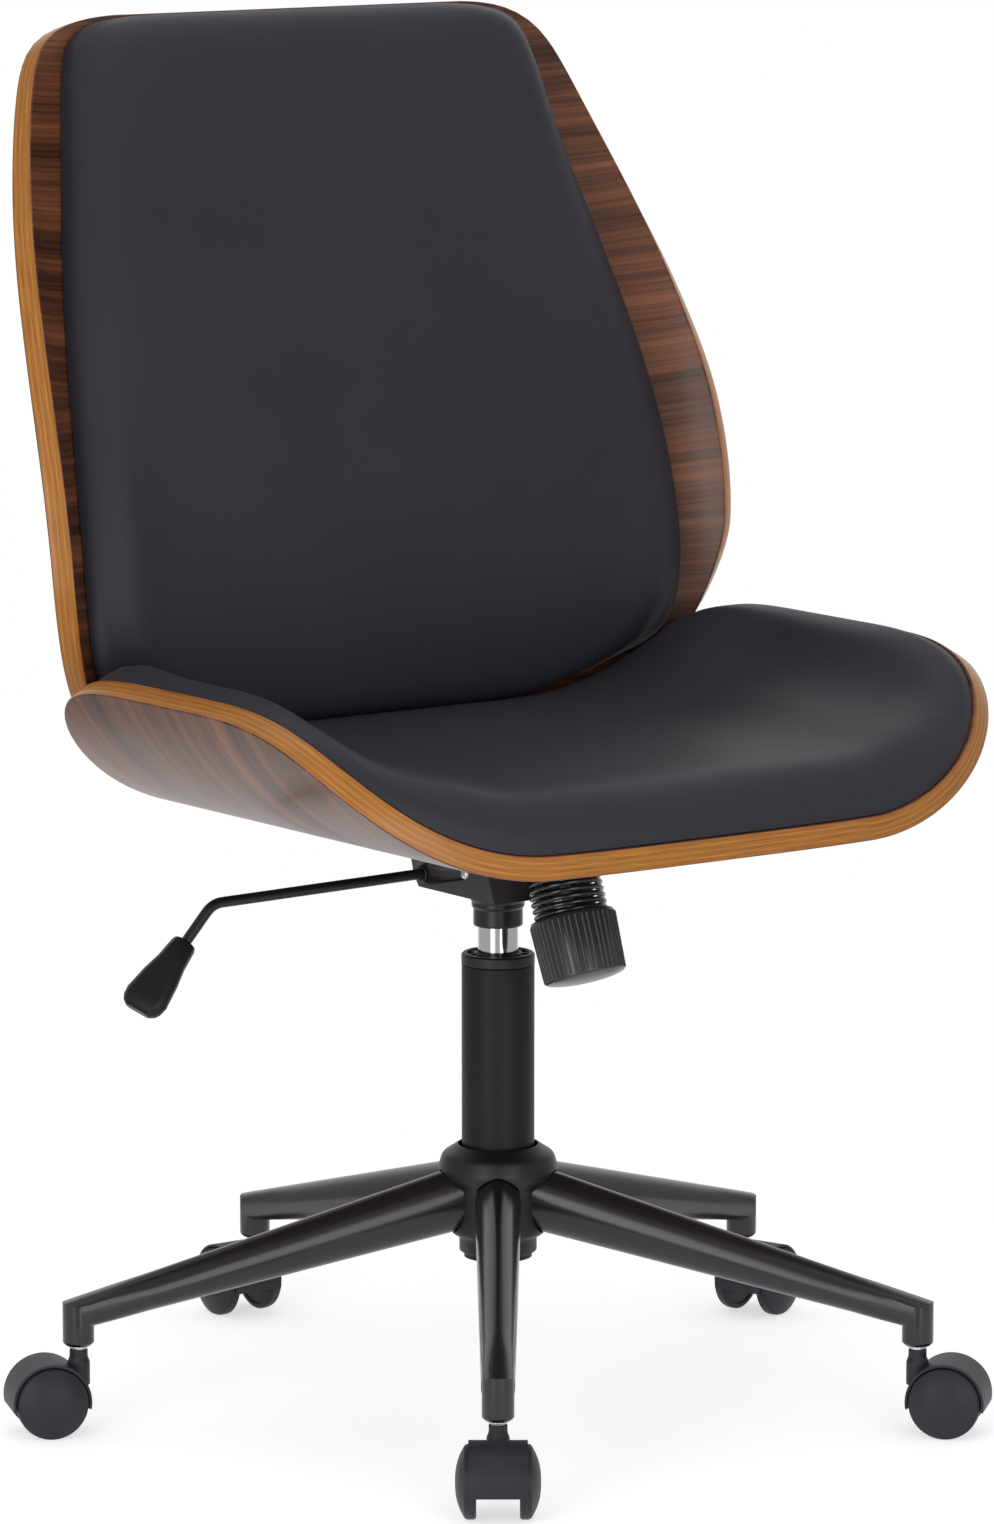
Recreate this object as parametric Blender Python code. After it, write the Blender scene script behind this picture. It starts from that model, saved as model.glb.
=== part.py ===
"""Office chair: bent plywood seat and back with upholstered pads, on a tilting mechanism, a gas height
column and a star foot with five twin-wheel castors. Metres, +Z up, the sitter faces -Y, +X to their left."""

import math

import bmesh
import bpy
from mathutils import Matrix, Vector

# Clearances, and the small chamfer of turned ends
GAP = 0.0003
PAD_GAP = 0.0010
RUN_GAP = 0.0008
EASE = 0.001

# Star foot and its hub
LEG_COUNT = 5
STEM_CIRCLE_R = 0.299
HUB_TOP_Z = 0.180
HUB_RIM_R = 0.0285
HUB_DOME_R = 0.0413
HUB_DOME_Z = 0.164
HUB_BODY_R = 0.0329
HUB_NECK_Z = 0.152
HUB_BODY_BOTTOM_Z = 0.117
HUB_FOOT_R = 0.0267
HUB_BOTTOM_Z = 0.105
LEG_ROOT_Z = 0.1425
LEG_ROOT_WIDTH = 0.033
LEG_ROOT_HEIGHT = 0.045
LEG_END_Z = 0.0797
LEG_END_HEIGHT = 0.0204
LEG_ROUNDNESS = 2.4
LEG_END_LAP = 0.0004
LEG_END_TURNS = tuple(math.radians(turn) for turn in (35.0, 65.0, 84.0))
SOCKET_R = 0.0107
SOCKET_BOTTOM_Z = 0.060
SOCKET_BORE_DEPTH = 0.024
SOCKET_CHAMFER = 0.0012

# Castors
WHEEL_R = 0.0245
WHEEL_OUTER_X = 0.028
WHEEL_INNER_X = 0.0142
CAP_DEPTH = 0.0028
CASTOR_TRAIL = 0.0215
CASTOR_TURNS = (5.5, 0.0, 0.0, -3.9, 0.0)
HOOD_R = 0.0270
HOOD_WALL = 0.0017
HOOD_WIDTH = 0.0386
HOOD_DROP = 0.005
HOOD_BOSS_R = 0.0116
HOOD_WEB_LIFT = 0.08
NECK_R = 0.0062
NECK_TOP_Z = 0.0575
STEM_R = 0.0050
STEM_COLLAR_R = 0.0066
STEM_COLLAR_HEIGHT = 0.0012
STEM_SEAT_Z = 0.038
AXLE_R = 0.003
AXLE_END_X = 0.0235

# Height column
TUBE_R = 0.025
TUBE_WALL = 0.002
TUBE_TOP_Z = 0.3057
TUBE_TAPER_R = 0.0234
TUBE_BOTTOM_Z = 0.101
TUBE_FLOOR = 0.004
BUSH_TOP_Z = 0.3135
BUSH_BOTTOM_Z = 0.232
CYLINDER_R = 0.014
CYLINDER_BOTTOM_Z = 0.152
CYLINDER_TAPER_Z = 0.335
CYLINDER_TAPER_R = 0.0132
CYLINDER_TOP_Z = 0.375
ROD_R = 0.005
ROD_TOP_Z = 0.259
ROD_BORE_TOP_Z = 0.297
ROD_SHOULDER_R = 0.0085
ROD_SHOULDER_HEIGHT = 0.003
BEARING_R = 0.011
BEARING_HEIGHT = 0.005
CLIP_R = 0.0105
CLIP_HEIGHT = 0.0018
ROD_TAIL = 0.004
BUTTON_R = 0.004
BUTTON_RISE = 0.0085
BUTTON_DEPTH = 0.0045
BUTTON_GAP = 0.0004
BUTTON_BORE_DEPTH = 0.008

# Tilt housing and the socket for the column
COLLAR_R = 0.017
COLLAR_BOTTOM_Z = 0.3323
COLLAR_LIP_R = 0.0182
COLLAR_LIP_HEIGHT = 0.0035
COLLAR_FLARE_Z = 0.349
COLLAR_FLARE_R = 0.0215
COLLAR_NECK_R = 0.0154
COLLAR_TOP_Z = 0.378
HOUSING_HALF_WIDTH = 0.041
HOUSING_WALL = 0.003
HOUSING_FRONT_GAP = 0.002
HOUSING_REAR = -0.042
HOUSING_REAR_TOP = -0.057
HOUSING_FLOOR_Z = 0.3582
HOUSING_REAR_TOP_Z = 0.3945
PIN_F = 0.0197
PIN_Z = 0.375
PIN_R = 0.00385
PIN_PROUD = 0.0034
PIN_HEAD_R = 0.006

# Seat plate, its bolts and the back's bracket
PLATE_HALF_WIDTH = 0.080
PLATE_REAR = -0.086
PLATE_FRONT = 0.074
PLATE_THICKNESS = 0.004
EAR_R = 0.010
EAR_THICKNESS = 0.0025
BOLT_X = 0.058
BOLT_FRONT = 0.045
BOLT_REAR = -0.074
BOLT_R = 0.003
BOLT_HEAD_R = 0.0055
BOLT_HEAD_HEIGHT = 0.004
BOLT_GRIP = 0.011
BRACKET_HALF_WIDTH = 0.066
BRACKET_THICKNESS = 0.005
BRACKET_FRONT = -0.064
BRACKET_TOP_Z = 0.502
BRACKET_BEND = 0.012
SCREW_X = 0.032
SCREW_Z = 0.465
SCREW_GRIP = 0.009

# Tension spring, its bolt, cup and knob, on an axis square to the line from the pin to the lip
SPRING_LEAN = math.radians(21.6)
LIP_REACH = 0.0516
LIP_MARGIN = 0.003
LIP_THICKNESS = 0.003
SPRING_R = 0.0236
WIRE_R = 0.0019
SPRING_PITCH = 0.0045
POINTS_PER_TURN = 8
TENSION_BOLT_R = 0.004
BOLT_SLACK = 0.0013
BOLT_FOOT_R = 0.009
BOLT_FOOT_HEIGHT = 0.003
SPRING_LENGTH = 0.046
CUP_R = 0.0258
CUP_WALL = 0.0012
KNOB_RECESS = 0.0035
KNOB_RECESS_R = 0.0264
KNOB_R = 0.0284
KNOB_TOP_R = 0.0298
KNOB_HEIGHT = 0.0425
KNOB_CROWN = 0.0035
KNOB_RIBS = 28
KNOB_RIB_DEPTH = 0.0007
KNOB_BORE_DEPTH = 0.026
BOLT_IN_KNOB = 0.020

# Height lever
LEVER_F = -0.030
LEVER_Z = 0.368
LEVER_R = 0.00365
BUSH_R = 0.0049
BUSH_FLANGE_R = 0.0061
BUSH_FLANGE = 0.0015
BUSH_FLANGE_GAP = 0.0006
LEVER_BEND_X = -0.2146
LEVER_BEND_DROP = 0.0025
LEVER_BEND_R = 0.018
LEVER_FALL = math.radians(47.5)
LEVER_TAIL = 0.046
HANDLE_START = 0.032
HANDLE_LENGTH = 0.058
HANDLE_ROUNDNESS = 3.0
HANDLE_MOUTH = 0.010
HANDLE_TURN = math.radians(35.0)
CRANK_IN_X = -0.0225
CRANK_OVER_X = -0.0125
CRANK_END_X = 0.0135
CRANK_SLANT = 0.003

# The paddle's width and depth by share of its length
HANDLE_SECTIONS = (
    (0.0, 0.0130, 0.0120), (0.03, 0.0165, 0.0140), (0.30, 0.0200, 0.0140), (0.55, 0.0270, 0.0130),
    (0.80, 0.0310, 0.0140), (0.94, 0.0270, 0.0120), (1.0, 0.0180, 0.0060),
)

# Seat shell: a ply sheet bent about lines that run front to rear
SEAT_Z = 0.4276
SEAT_THICKNESS = 0.0163
SEAT_FLAT = 0.130
SEAT_BEND_R = 0.1707
SEAT_BEND = math.radians(59.8)
SEAT_HALF_SPAN = 0.320
SEAT_MIDDLE = 0.0636
SEAT_FRONT_REACH = 0.1834
SEAT_REAR_REACH = 0.2025
SEAT_FRONT_ROUNDNESS = 3.09
SEAT_REAR_ROUNDNESS = 5.46
SEAT_PAD_INSET = 0.002
SEAT_PAD_DEPTH = 0.0375
SEAT_PAD_WING_DEPTH = 0.021
SEAT_PAD_THIN_FROM = 0.190
SEAT_PAD_THIN_TO = 0.270
SEAT_PAD_CROWN = 0.003
SEAT_PAD_REAR_FROM = 0.28
SEAT_PAD_REAR_TO = 0.78
SEAT_PAD_FILL = 0.0045
SEAT_PAD_FILL_FROM = 0.100
SEAT_PAD_FILL_TO = 0.165
SEAT_PAD_EDGE_FRONT = 0.040
SEAT_PAD_EDGE_SIDE = 0.026
SEAT_PAD_EDGE_REAR = 0.016

# Back shell: a ply sheet bent about its leaning spine
BACK_F = -0.1442
BACK_Z = 0.497
BACK_THICKNESS = 0.0147
BACK_FLAT = 0.1857
BACK_BEND_R = 0.1085
BACK_TOP = 0.4636
BACK_TAIL = -0.078
BACK_CORNER_FROM = 0.32
BACK_CORNER_ROUNDNESS = 8.5
BACK_LEAN_MIDDLE = math.radians(16.03)
BACK_LEAN_TOP = math.radians(12.65)
BACK_LEAN_MIDDLE_AT = 0.22
BACK_LEAN_TOP_AT = 0.46
BACK_PAD_DEPTH = 0.035
BACK_PAD_CROWN = 0.004
BACK_PAD_EDGE_SIDE = 0.046
BACK_PAD_EDGE_TOP = 0.036
BACK_PAD_EDGE_BOTTOM = 0.012
BACK_PAD_TOP = 0.4615
BACK_PAD_BOTTOM = -0.0285
BACK_PAD_CORNER_FROM = 0.37
BACK_PAD_CORNER_ROUNDNESS = 8.0
CORNER_CUT = 0.995
PAD_ROLL = 2.5
SPINE_STEPS = 24
BACK_ROW = 0.040

# Half widths of the back's ply and pad, measured round the sheet, by height along the spine
BACK_HALF_WIDTHS = (
    (BACK_TAIL, 0.120), (-0.060, 0.166), (-0.040, 0.205), (-0.020, 0.235), (0.0, 0.2550), (0.04, 0.2775),
    (0.08, 0.2905), (0.16, 0.2908), (0.24, 0.2768), (0.32, 0.2558), (0.42, 0.2234), (0.46, 0.2104),
)
BACK_PAD_HALF_WIDTHS = (
    (BACK_PAD_BOTTOM, 0.105), (-0.0200, 0.152), (-0.0075, 0.194), (0.004, 0.2270), (0.018, 0.2465),
    (0.05, 0.2560), (0.10, 0.2565), (0.16, 0.2510), (0.22, 0.2413), (0.29, 0.2260), (0.35, 0.2115),
    (0.42, 0.1970), (0.46, 0.1890),
)

# Facets of round bodies and steps of rounded stretches
ROUND = 25
SMALL_ROUND = 12
WHEEL_ROUND = 18
GUARD_STEPS = 11
WEB_STEPS = 10
BEND_STEPS = 5
EAR_STEPS = 8
PADDLE_FACETS = 14


def clear_scene():
    for obj in list(bpy.data.objects):
        bpy.data.objects.remove(obj, do_unlink=True)


def finish_of(name, colour, roughness, metallic=0.0):
    made = bpy.data.materials.new(name)
    made.use_nodes = True
    shader = made.node_tree.nodes["Principled BSDF"]
    shader.inputs["Base Color"].default_value = (*colour, 1.0)
    shader.inputs["Roughness"].default_value = roughness
    shader.inputs["Metallic"].default_value = metallic
    return made


def joint_frame(name, place, parent=None):
    """An empty on a joint's axis, at a place given in the chair's own frame."""
    frame = bpy.data.objects.new(name, None)
    frame.empty_display_size = 0.03
    bpy.context.collection.objects.link(frame)
    frame["place"] = tuple(place)
    frame.location = place
    if parent is not None:
        frame.parent = parent
        frame.location = Vector(place) - Vector(parent["place"])
    return frame


def solid(name, bm, finish, frame):
    """An object from a bmesh drawn in the chair's own frame, carried by a joint's empty."""
    bmesh.ops.remove_doubles(bm, verts=bm.verts, dist=1e-6)
    bmesh.ops.recalc_face_normals(bm, faces=bm.faces)
    mesh = bpy.data.meshes.new(name)
    bm.to_mesh(mesh)
    bm.free()
    return place_mesh(name, mesh, finish, frame)


def place_mesh(name, mesh, finish, frame, turn=0.0):
    obj = bpy.data.objects.new(name, mesh)
    bpy.context.collection.objects.link(obj)
    if finish is not None:
        obj.data.materials.clear()
        obj.data.materials.append(finish)
        mesh.shade_smooth()
        mesh.set_sharp_from_angle(angle=math.radians(35))
    if frame is not None:
        obj.parent = frame
        obj.matrix_parent_inverse = Matrix.Translation(-Vector(frame["place"]))
    obj.rotation_euler.z = turn
    return obj


def cutter(name, bm, frame=None):
    obj = solid(name, bm, None, frame)
    obj.hide_render = True
    obj.display_type = "WIRE"
    return obj


def combine(obj, other, operation):
    step = obj.modifiers.new(f"{operation.lower()} {other.name}", "BOOLEAN")
    step.operation = operation
    step.solver = "EXACT"
    step.object = other


def worked(pattern, steps):
    """The pattern's mesh with the steps worked in, to be shared by its copies; the helpers are removed."""
    for helper, operation in steps:
        combine(pattern, helper, operation)
    graph = bpy.context.evaluated_depsgraph_get()
    made = bpy.data.meshes.new_from_object(pattern.evaluated_get(graph))
    for obj in (pattern, *(helper for helper, _ in steps)):
        bpy.data.objects.remove(obj, do_unlink=True)
    return made


def turned(profile, steps=ROUND, place=(0.0, 0.0, 0.0), turn=None):
    """A body turned about Z from (radius, height) points; a chain that starts and ends on the axis
    is a full body, any other is a closed ring."""
    bm = bmesh.new()
    points = [bm.verts.new((radius, 0.0, height)) for radius, height in profile]
    pairs = list(zip(points, points[1:]))
    if profile[0][0] > 0.0:
        pairs.append((points[-1], points[0]))
    edges = [bm.edges.new(pair) for pair in pairs]
    bmesh.ops.spin(
        bm,
        geom=points + edges,
        axis=(0.0, 0.0, 1.0),
        cent=(0.0, 0.0, 0.0),
        angle=2.0 * math.pi,
        steps=steps,
        use_merge=True,
    )
    bmesh.ops.remove_doubles(bm, verts=bm.verts, dist=1e-6)
    matrix = Matrix.Translation(place)
    if turn is not None:
        matrix = matrix @ turn
    bmesh.ops.transform(bm, matrix=matrix, verts=bm.verts)
    return bm


def rod(radius, low, high, steps=SMALL_ROUND, place=(0.0, 0.0, 0.0), turn=None):
    return turned([(0.0, high), (radius, high), (radius, low), (0.0, low)], steps, place, turn)


def lofted(rings):
    """A closed body skinned over rings of equal count, with flat ends."""
    bm = bmesh.new()
    loops = [[bm.verts.new(point) for point in ring] for ring in rings]
    count = len(loops[0])
    for near, far in zip(loops, loops[1:]):
        for i in range(count):
            j = (i + 1) % count
            bm.faces.new((near[i], near[j], far[j], far[i]))
    bm.faces.new(loops[0])
    bm.faces.new(loops[-1])
    return bm


def extruded(outline, half_width, offset=0.0):
    """A plate whose outline is drawn in the side view as (forward, up) points."""
    rings = [[(offset + side * half_width, -f, z) for f, z in outline] for side in (-1.0, 1.0)]
    return lofted(rings)


def arc(centre, radius, start, end, steps):
    """Points (forward, up) along an arc, its angles measured from forward towards up."""
    made = []
    for i in range(steps + 1):
        angle = start + (end - start) * i / steps
        made.append((centre[0] + radius * math.cos(angle), centre[1] + radius * math.sin(angle)))
    return made


def oval(width, height, roundness, steps=12):
    """Points (across, up) of an oval that is fuller than an ellipse."""
    made = []
    for i in range(steps):
        angle = 2.0 * math.pi * i / steps
        across = math.copysign(abs(math.cos(angle)) ** (2.0 / roundness), math.cos(angle))
        up = math.copysign(abs(math.sin(angle)) ** (2.0 / roundness), math.sin(angle))
        made.append((0.5 * width * across, 0.5 * height * up))
    return made


def eased(low, high, value):
    share = min(max((value - low) / (high - low), 0.0), 1.0)
    return share * share * (3.0 - 2.0 * share)


def domed(distance, reach):
    """Share of the full depth at a distance in from an edge that is rounded over a reach."""
    share = min(max(distance / reach, 0.0), 1.0)
    return math.sqrt(1.0 - (1.0 - share) ** PAD_ROLL)


def smooth_between(stations, value):
    """A smooth curve through (place, size) stations."""
    count = len(stations)
    index = 0
    while index < count - 2 and value > stations[index + 1][0]:
        index += 1
    slopes = []
    for i in (index, index + 1):
        before = stations[max(i - 1, 0)]
        after = stations[min(i + 1, count - 1)]
        slopes.append((after[1] - before[1]) / (after[0] - before[0]))
    (x0, y0), (x1, y1) = stations[index], stations[index + 1]
    span = x1 - x0
    t = (value - x0) / span
    return (
        y0 * (1.0 + 2.0 * t) * (1.0 - t) ** 2
        + slopes[0] * span * t * (1.0 - t) ** 2
        + y1 * t * t * (3.0 - 2.0 * t)
        - slopes[1] * span * t * t * (1.0 - t)
    )


def grid_body(top, bottom):
    """A closed body between two grids of points; where their borders share points it ends in an edge."""
    bm = bmesh.new()
    rows = len(top)
    columns = len(top[0])
    sheets = [[[bm.verts.new(point) for point in row] for row in grid] for grid in (top, bottom)]
    for sheet in sheets:
        for i in range(rows - 1):
            for j in range(columns - 1):
                bm.faces.new((sheet[i][j], sheet[i][j + 1], sheet[i + 1][j + 1], sheet[i + 1][j]))
    border = [(0, j) for j in range(columns)] + [(i, columns - 1) for i in range(1, rows)]
    border += [(rows - 1, j) for j in range(columns - 2, -1, -1)] + [(i, 0) for i in range(rows - 2, 0, -1)]
    if (Vector(top[0][0]) - Vector(bottom[0][0])).length > 1e-6:
        for here, there in zip(border, border[1:] + border[:1]):
            over = [sheets[0][i][j] for i, j in (here, there)]
            under = [sheets[1][i][j] for i, j in (there, here)]
            bm.faces.new(over + under)
    return bm


def build_foot(frame, finishes):
    """Cast hub, five arms with castor sockets, and the outer tube of the height column."""
    bore = TUBE_R + GAP
    hub_profile = [
        (HUB_RIM_R - 0.0012, HUB_TOP_Z),
        (HUB_RIM_R, HUB_TOP_Z - 0.0012),
        (HUB_RIM_R + 0.003, HUB_TOP_Z - 0.0035),
        (0.5 * (HUB_RIM_R + HUB_DOME_R) + 0.003, 0.5 * (HUB_TOP_Z + HUB_DOME_Z) + 0.0015),
        (HUB_DOME_R, HUB_DOME_Z),
        (HUB_DOME_R - 0.001, HUB_DOME_Z - 0.005),
        (HUB_BODY_R, HUB_NECK_Z),
        (HUB_BODY_R, HUB_BODY_BOTTOM_Z + 0.002),
        (HUB_BODY_R - 0.002, HUB_BODY_BOTTOM_Z),
        (HUB_FOOT_R, HUB_BODY_BOTTOM_Z - 0.001),
        (HUB_FOOT_R, HUB_BOTTOM_Z),
    ]
    ring = hub_profile + [
        (TUBE_TAPER_R + GAP, HUB_BOTTOM_Z),
        (bore, HUB_BODY_BOTTOM_Z),
        (bore, HUB_TOP_Z),
    ]
    solid("hub", turned(ring), finishes["foot"], frame)
    grown = [(0.0, HUB_TOP_Z + 0.01)] + [(radius + GAP, height) for radius, height in hub_profile]
    grown += [(HUB_FOOT_R + GAP, HUB_BOTTOM_Z - 0.01), (0.0, HUB_BOTTOM_Z - 0.01)]
    in_step = Matrix.Rotation(-leg_angle(0), 4, "Z")
    leg_mesh = leg_shape(cutter("hub_cutter", turned(grown, turn=in_step)))
    for index in range(LEG_COUNT):
        place_mesh(f"leg_{index + 1}", leg_mesh, finishes["leg"], frame, leg_angle(index))

    floor_z = TUBE_BOTTOM_Z + CLIP_HEIGHT + ROD_TAIL
    tube = [
        (TUBE_R, TUBE_TOP_Z),
        (TUBE_R, HUB_BODY_BOTTOM_Z),
        (TUBE_TAPER_R, HUB_BOTTOM_Z),
        (TUBE_TAPER_R, TUBE_BOTTOM_Z),
        (TUBE_TAPER_R - TUBE_WALL, TUBE_BOTTOM_Z),
        (TUBE_TAPER_R - TUBE_WALL, floor_z),
        (ROD_R + GAP, floor_z),
        (ROD_R + GAP, floor_z + TUBE_FLOOR),
        (TUBE_TAPER_R - TUBE_WALL, floor_z + TUBE_FLOOR),
        (TUBE_R - TUBE_WALL, HUB_BODY_BOTTOM_Z),
        (TUBE_R - TUBE_WALL, TUBE_TOP_Z),
    ]
    solid("column_tube", turned(tube), finishes["column"], frame)

    bush_r = TUBE_R - TUBE_WALL - GAP
    bush = [
        (TUBE_R - 0.0008, BUSH_TOP_Z),
        (TUBE_R + 0.0002, BUSH_TOP_Z - 0.001),
        (TUBE_R + 0.0002, TUBE_TOP_Z + GAP),
        (bush_r, TUBE_TOP_Z + GAP),
        (bush_r, BUSH_BOTTOM_Z),
        (CYLINDER_R + GAP, BUSH_BOTTOM_Z),
        (CYLINDER_R + GAP, BUSH_TOP_Z - 0.0012),
        (CYLINDER_R + 0.0015, BUSH_TOP_Z),
    ]
    solid("guide_bush", turned(bush), finishes["plastic"], frame)

    bearing_z = floor_z + TUBE_FLOOR + GAP
    bearing = [
        (BEARING_R, bearing_z + BEARING_HEIGHT),
        (BEARING_R, bearing_z),
        (ROD_R + GAP, bearing_z),
        (ROD_R + GAP, bearing_z + BEARING_HEIGHT),
    ]
    solid("thrust_bearing", turned(bearing), finishes["steel"], frame)
    return floor_z, bearing_z + BEARING_HEIGHT


def leg_shape(hub_cutter):
    """A tapering oval arm, its end rounded over an upright socket for the castor's stem."""
    round_r = SOCKET_R + LEG_END_LAP
    end_r = STEM_CIRCLE_R + round_r
    stations = [(share * STEM_CIRCLE_R, 1.0) for share in (0.06, 0.36, 0.68, 1.0)]
    stations += [(STEM_CIRCLE_R + round_r * math.sin(turn), math.cos(turn)) for turn in LEG_END_TURNS]
    rings = []
    for radius, narrow in stations:
        share = (radius - HUB_BODY_R) / (end_r - HUB_BODY_R)
        along = min(radius / STEM_CIRCLE_R, 1.0)
        width = narrow * (LEG_ROOT_WIDTH + (2.0 * round_r - LEG_ROOT_WIDTH) * along)
        height = LEG_ROOT_HEIGHT + (LEG_END_HEIGHT - LEG_ROOT_HEIGHT) * share
        level = LEG_ROOT_Z + (LEG_END_Z - LEG_ROOT_Z) * share
        rings.append([(x, -radius, level + up) for x, up in oval(width, height, LEG_ROUNDNESS)])
    leg = solid("leg_pattern", lofted(rings), None, None)
    stem_place = (0.0, -STEM_CIRCLE_R, 0.0)
    socket_top = LEG_END_Z + 0.25 * LEG_END_HEIGHT
    socket = [
        (0.0, socket_top),
        (SOCKET_R, socket_top),
        (SOCKET_R, SOCKET_BOTTOM_Z + SOCKET_CHAMFER),
        (SOCKET_R - SOCKET_CHAMFER, SOCKET_BOTTOM_Z),
        (0.0, SOCKET_BOTTOM_Z),
    ]
    socket_body = cutter("socket_body", turned(socket, SMALL_ROUND, stem_place))
    bore_top = SOCKET_BOTTOM_Z + SOCKET_BORE_DEPTH
    bore = rod(STEM_R + GAP, SOCKET_BOTTOM_Z - 0.01, bore_top, SMALL_ROUND, stem_place)
    socket_bore = cutter("socket_bore", bore)
    steps = ((socket_body, "UNION"), (hub_cutter, "DIFFERENCE"), (socket_bore, "DIFFERENCE"))
    return worked(leg, steps)


def leg_angle(index):
    """Turn of an arm about the column, from straight ahead: the first and last flank the front."""
    return 2.0 * math.pi / LEG_COUNT * (index + 0.5)


def build_castors(frame, finishes):
    """Five twin-wheel castors; each hood swivels on its stem and trails outwards, two a little turned."""
    hood_mesh = hood_shape()
    wheel_z = WHEEL_R
    stem_top = SOCKET_BOTTOM_Z + SOCKET_BORE_DEPTH - RUN_GAP
    collar_top = SOCKET_BOTTOM_Z - GAP
    collar_bottom = collar_top - STEM_COLLAR_HEIGHT
    stem_profile = [
        (0.0, stem_top),
        (STEM_R, stem_top),
        (STEM_R, collar_top),
        (STEM_COLLAR_R, collar_top),
        (STEM_COLLAR_R, collar_bottom),
        (STEM_R, collar_bottom),
        (STEM_R, STEM_SEAT_Z + GAP),
        (0.0, STEM_SEAT_Z + GAP),
    ]
    sideways = Matrix.Rotation(math.radians(90), 4, "Y")
    outwards = -(STEM_CIRCLE_R + CASTOR_TRAIL)
    stem_axis = Matrix.Translation((0.0, -STEM_CIRCLE_R, 0.0))
    for index in range(LEG_COUNT):
        turn = leg_angle(index)
        swivelled = Matrix.Rotation(math.radians(CASTOR_TURNS[index]), 4, "Z")
        about = Matrix.Rotation(turn, 4, "Z") @ stem_axis @ swivelled @ stem_axis.inverted()
        number = index + 1
        stem_at = about @ Vector((0.0, -STEM_CIRCLE_R, SOCKET_BOTTOM_Z))
        swivel = joint_frame(f"castor_swivel_{number}", stem_at, frame)
        stem = turned(stem_profile, SMALL_ROUND, (0.0, -STEM_CIRCLE_R, 0.0))
        bmesh.ops.transform(stem, matrix=about, verts=stem.verts)
        solid(f"castor_stem_{number}", stem, finishes["steel"], swivel)
        hood = hood_mesh.copy()
        hood.transform(about)
        place_mesh(f"castor_hood_{number}", hood, finishes["castor"], swivel)
        centre = about @ Vector((0.0, outwards, wheel_z))
        axle = rod(AXLE_R, -AXLE_END_X, AXLE_END_X, 12, (0.0, outwards, wheel_z), sideways)
        bmesh.ops.transform(axle, matrix=about, verts=axle.verts)
        solid(f"castor_axle_{number}", axle, finishes["steel"], swivel)
        for letter, side in (("a", -1.0), ("b", 1.0)):
            spin = joint_frame(f"wheel_spin_{number}{letter}", centre, swivel)
            wheel = turned(wheel_profile(), WHEEL_ROUND, (0.0, outwards, wheel_z), sideways)
            mirror = Matrix.Diagonal((side, 1.0, 1.0, 1.0))
            bmesh.ops.transform(wheel, matrix=about @ mirror, verts=wheel.verts)
            solid(f"wheel_{number}{letter}", wheel, finishes["castor"], spin)


def wheel_profile():
    """Half section of a wheel from its domed outer face round to the blind bore for the axle."""
    bore_end = AXLE_END_X + RUN_GAP
    return [
        (0.0, WHEEL_OUTER_X),
        (0.55 * WHEEL_R, WHEEL_OUTER_X - 0.15 * CAP_DEPTH),
        (0.90 * WHEEL_R, WHEEL_OUTER_X - CAP_DEPTH),
        (WHEEL_R, WHEEL_OUTER_X - 2.2 * CAP_DEPTH),
        (WHEEL_R, WHEEL_INNER_X),
        (AXLE_R + GAP, WHEEL_INNER_X),
        (AXLE_R + GAP, bore_end),
        (0.0, bore_end),
    ]


def hood_shape():
    """The castor's hood: a mudguard over both wheels, a web and boss between them, and its neck."""
    place = -(STEM_CIRCLE_R + CASTOR_TRAIL)
    tip = math.asin(HOOD_DROP / HOOD_R)
    start = -tip
    end = math.pi + tip
    centre = (-place, WHEEL_R)
    outer = arc(centre, HOOD_R, start, end, GUARD_STEPS)
    inner = arc(centre, HOOD_R - HOOD_WALL, end, start, GUARD_STEPS)
    hood = solid("hood_pattern", extruded(outer + inner, 0.5 * HOOD_WIDTH), None, None)
    web_half = WHEEL_INNER_X - 0.5 * RUN_GAP
    web_start, web_end = start + HOOD_WEB_LIFT, end - HOOD_WEB_LIFT
    web_outline = arc(centre, HOOD_R - 0.5 * HOOD_WALL, web_start, web_end, WEB_STEPS)
    web_outline += arc(centre, HOOD_BOSS_R, web_end, 2.0 * math.pi + web_start, 6)
    web = cutter("hood_web", extruded(web_outline, web_half))
    neck_low = WHEEL_R + 0.30 * HOOD_R
    stem_place = (0.0, -STEM_CIRCLE_R, 0.0)
    neck = cutter("hood_neck", rod(NECK_R, neck_low, NECK_TOP_Z, SMALL_ROUND, stem_place))
    sideways = Matrix.Rotation(math.radians(90), 4, "Y")
    axle_place = (0.0, place, WHEEL_R)
    axle_hole = cutter("axle_hole", rod(AXLE_R + GAP, -HOOD_WIDTH, HOOD_WIDTH, 12, axle_place, sideways))
    stem_hole = cutter("stem_hole", rod(STEM_R + GAP, STEM_SEAT_Z, 0.1, SMALL_ROUND, stem_place))
    steps = ((web, "UNION"), (neck, "UNION"), (axle_hole, "DIFFERENCE"), (stem_hole, "DIFFERENCE"))
    return worked(hood, steps)


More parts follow.
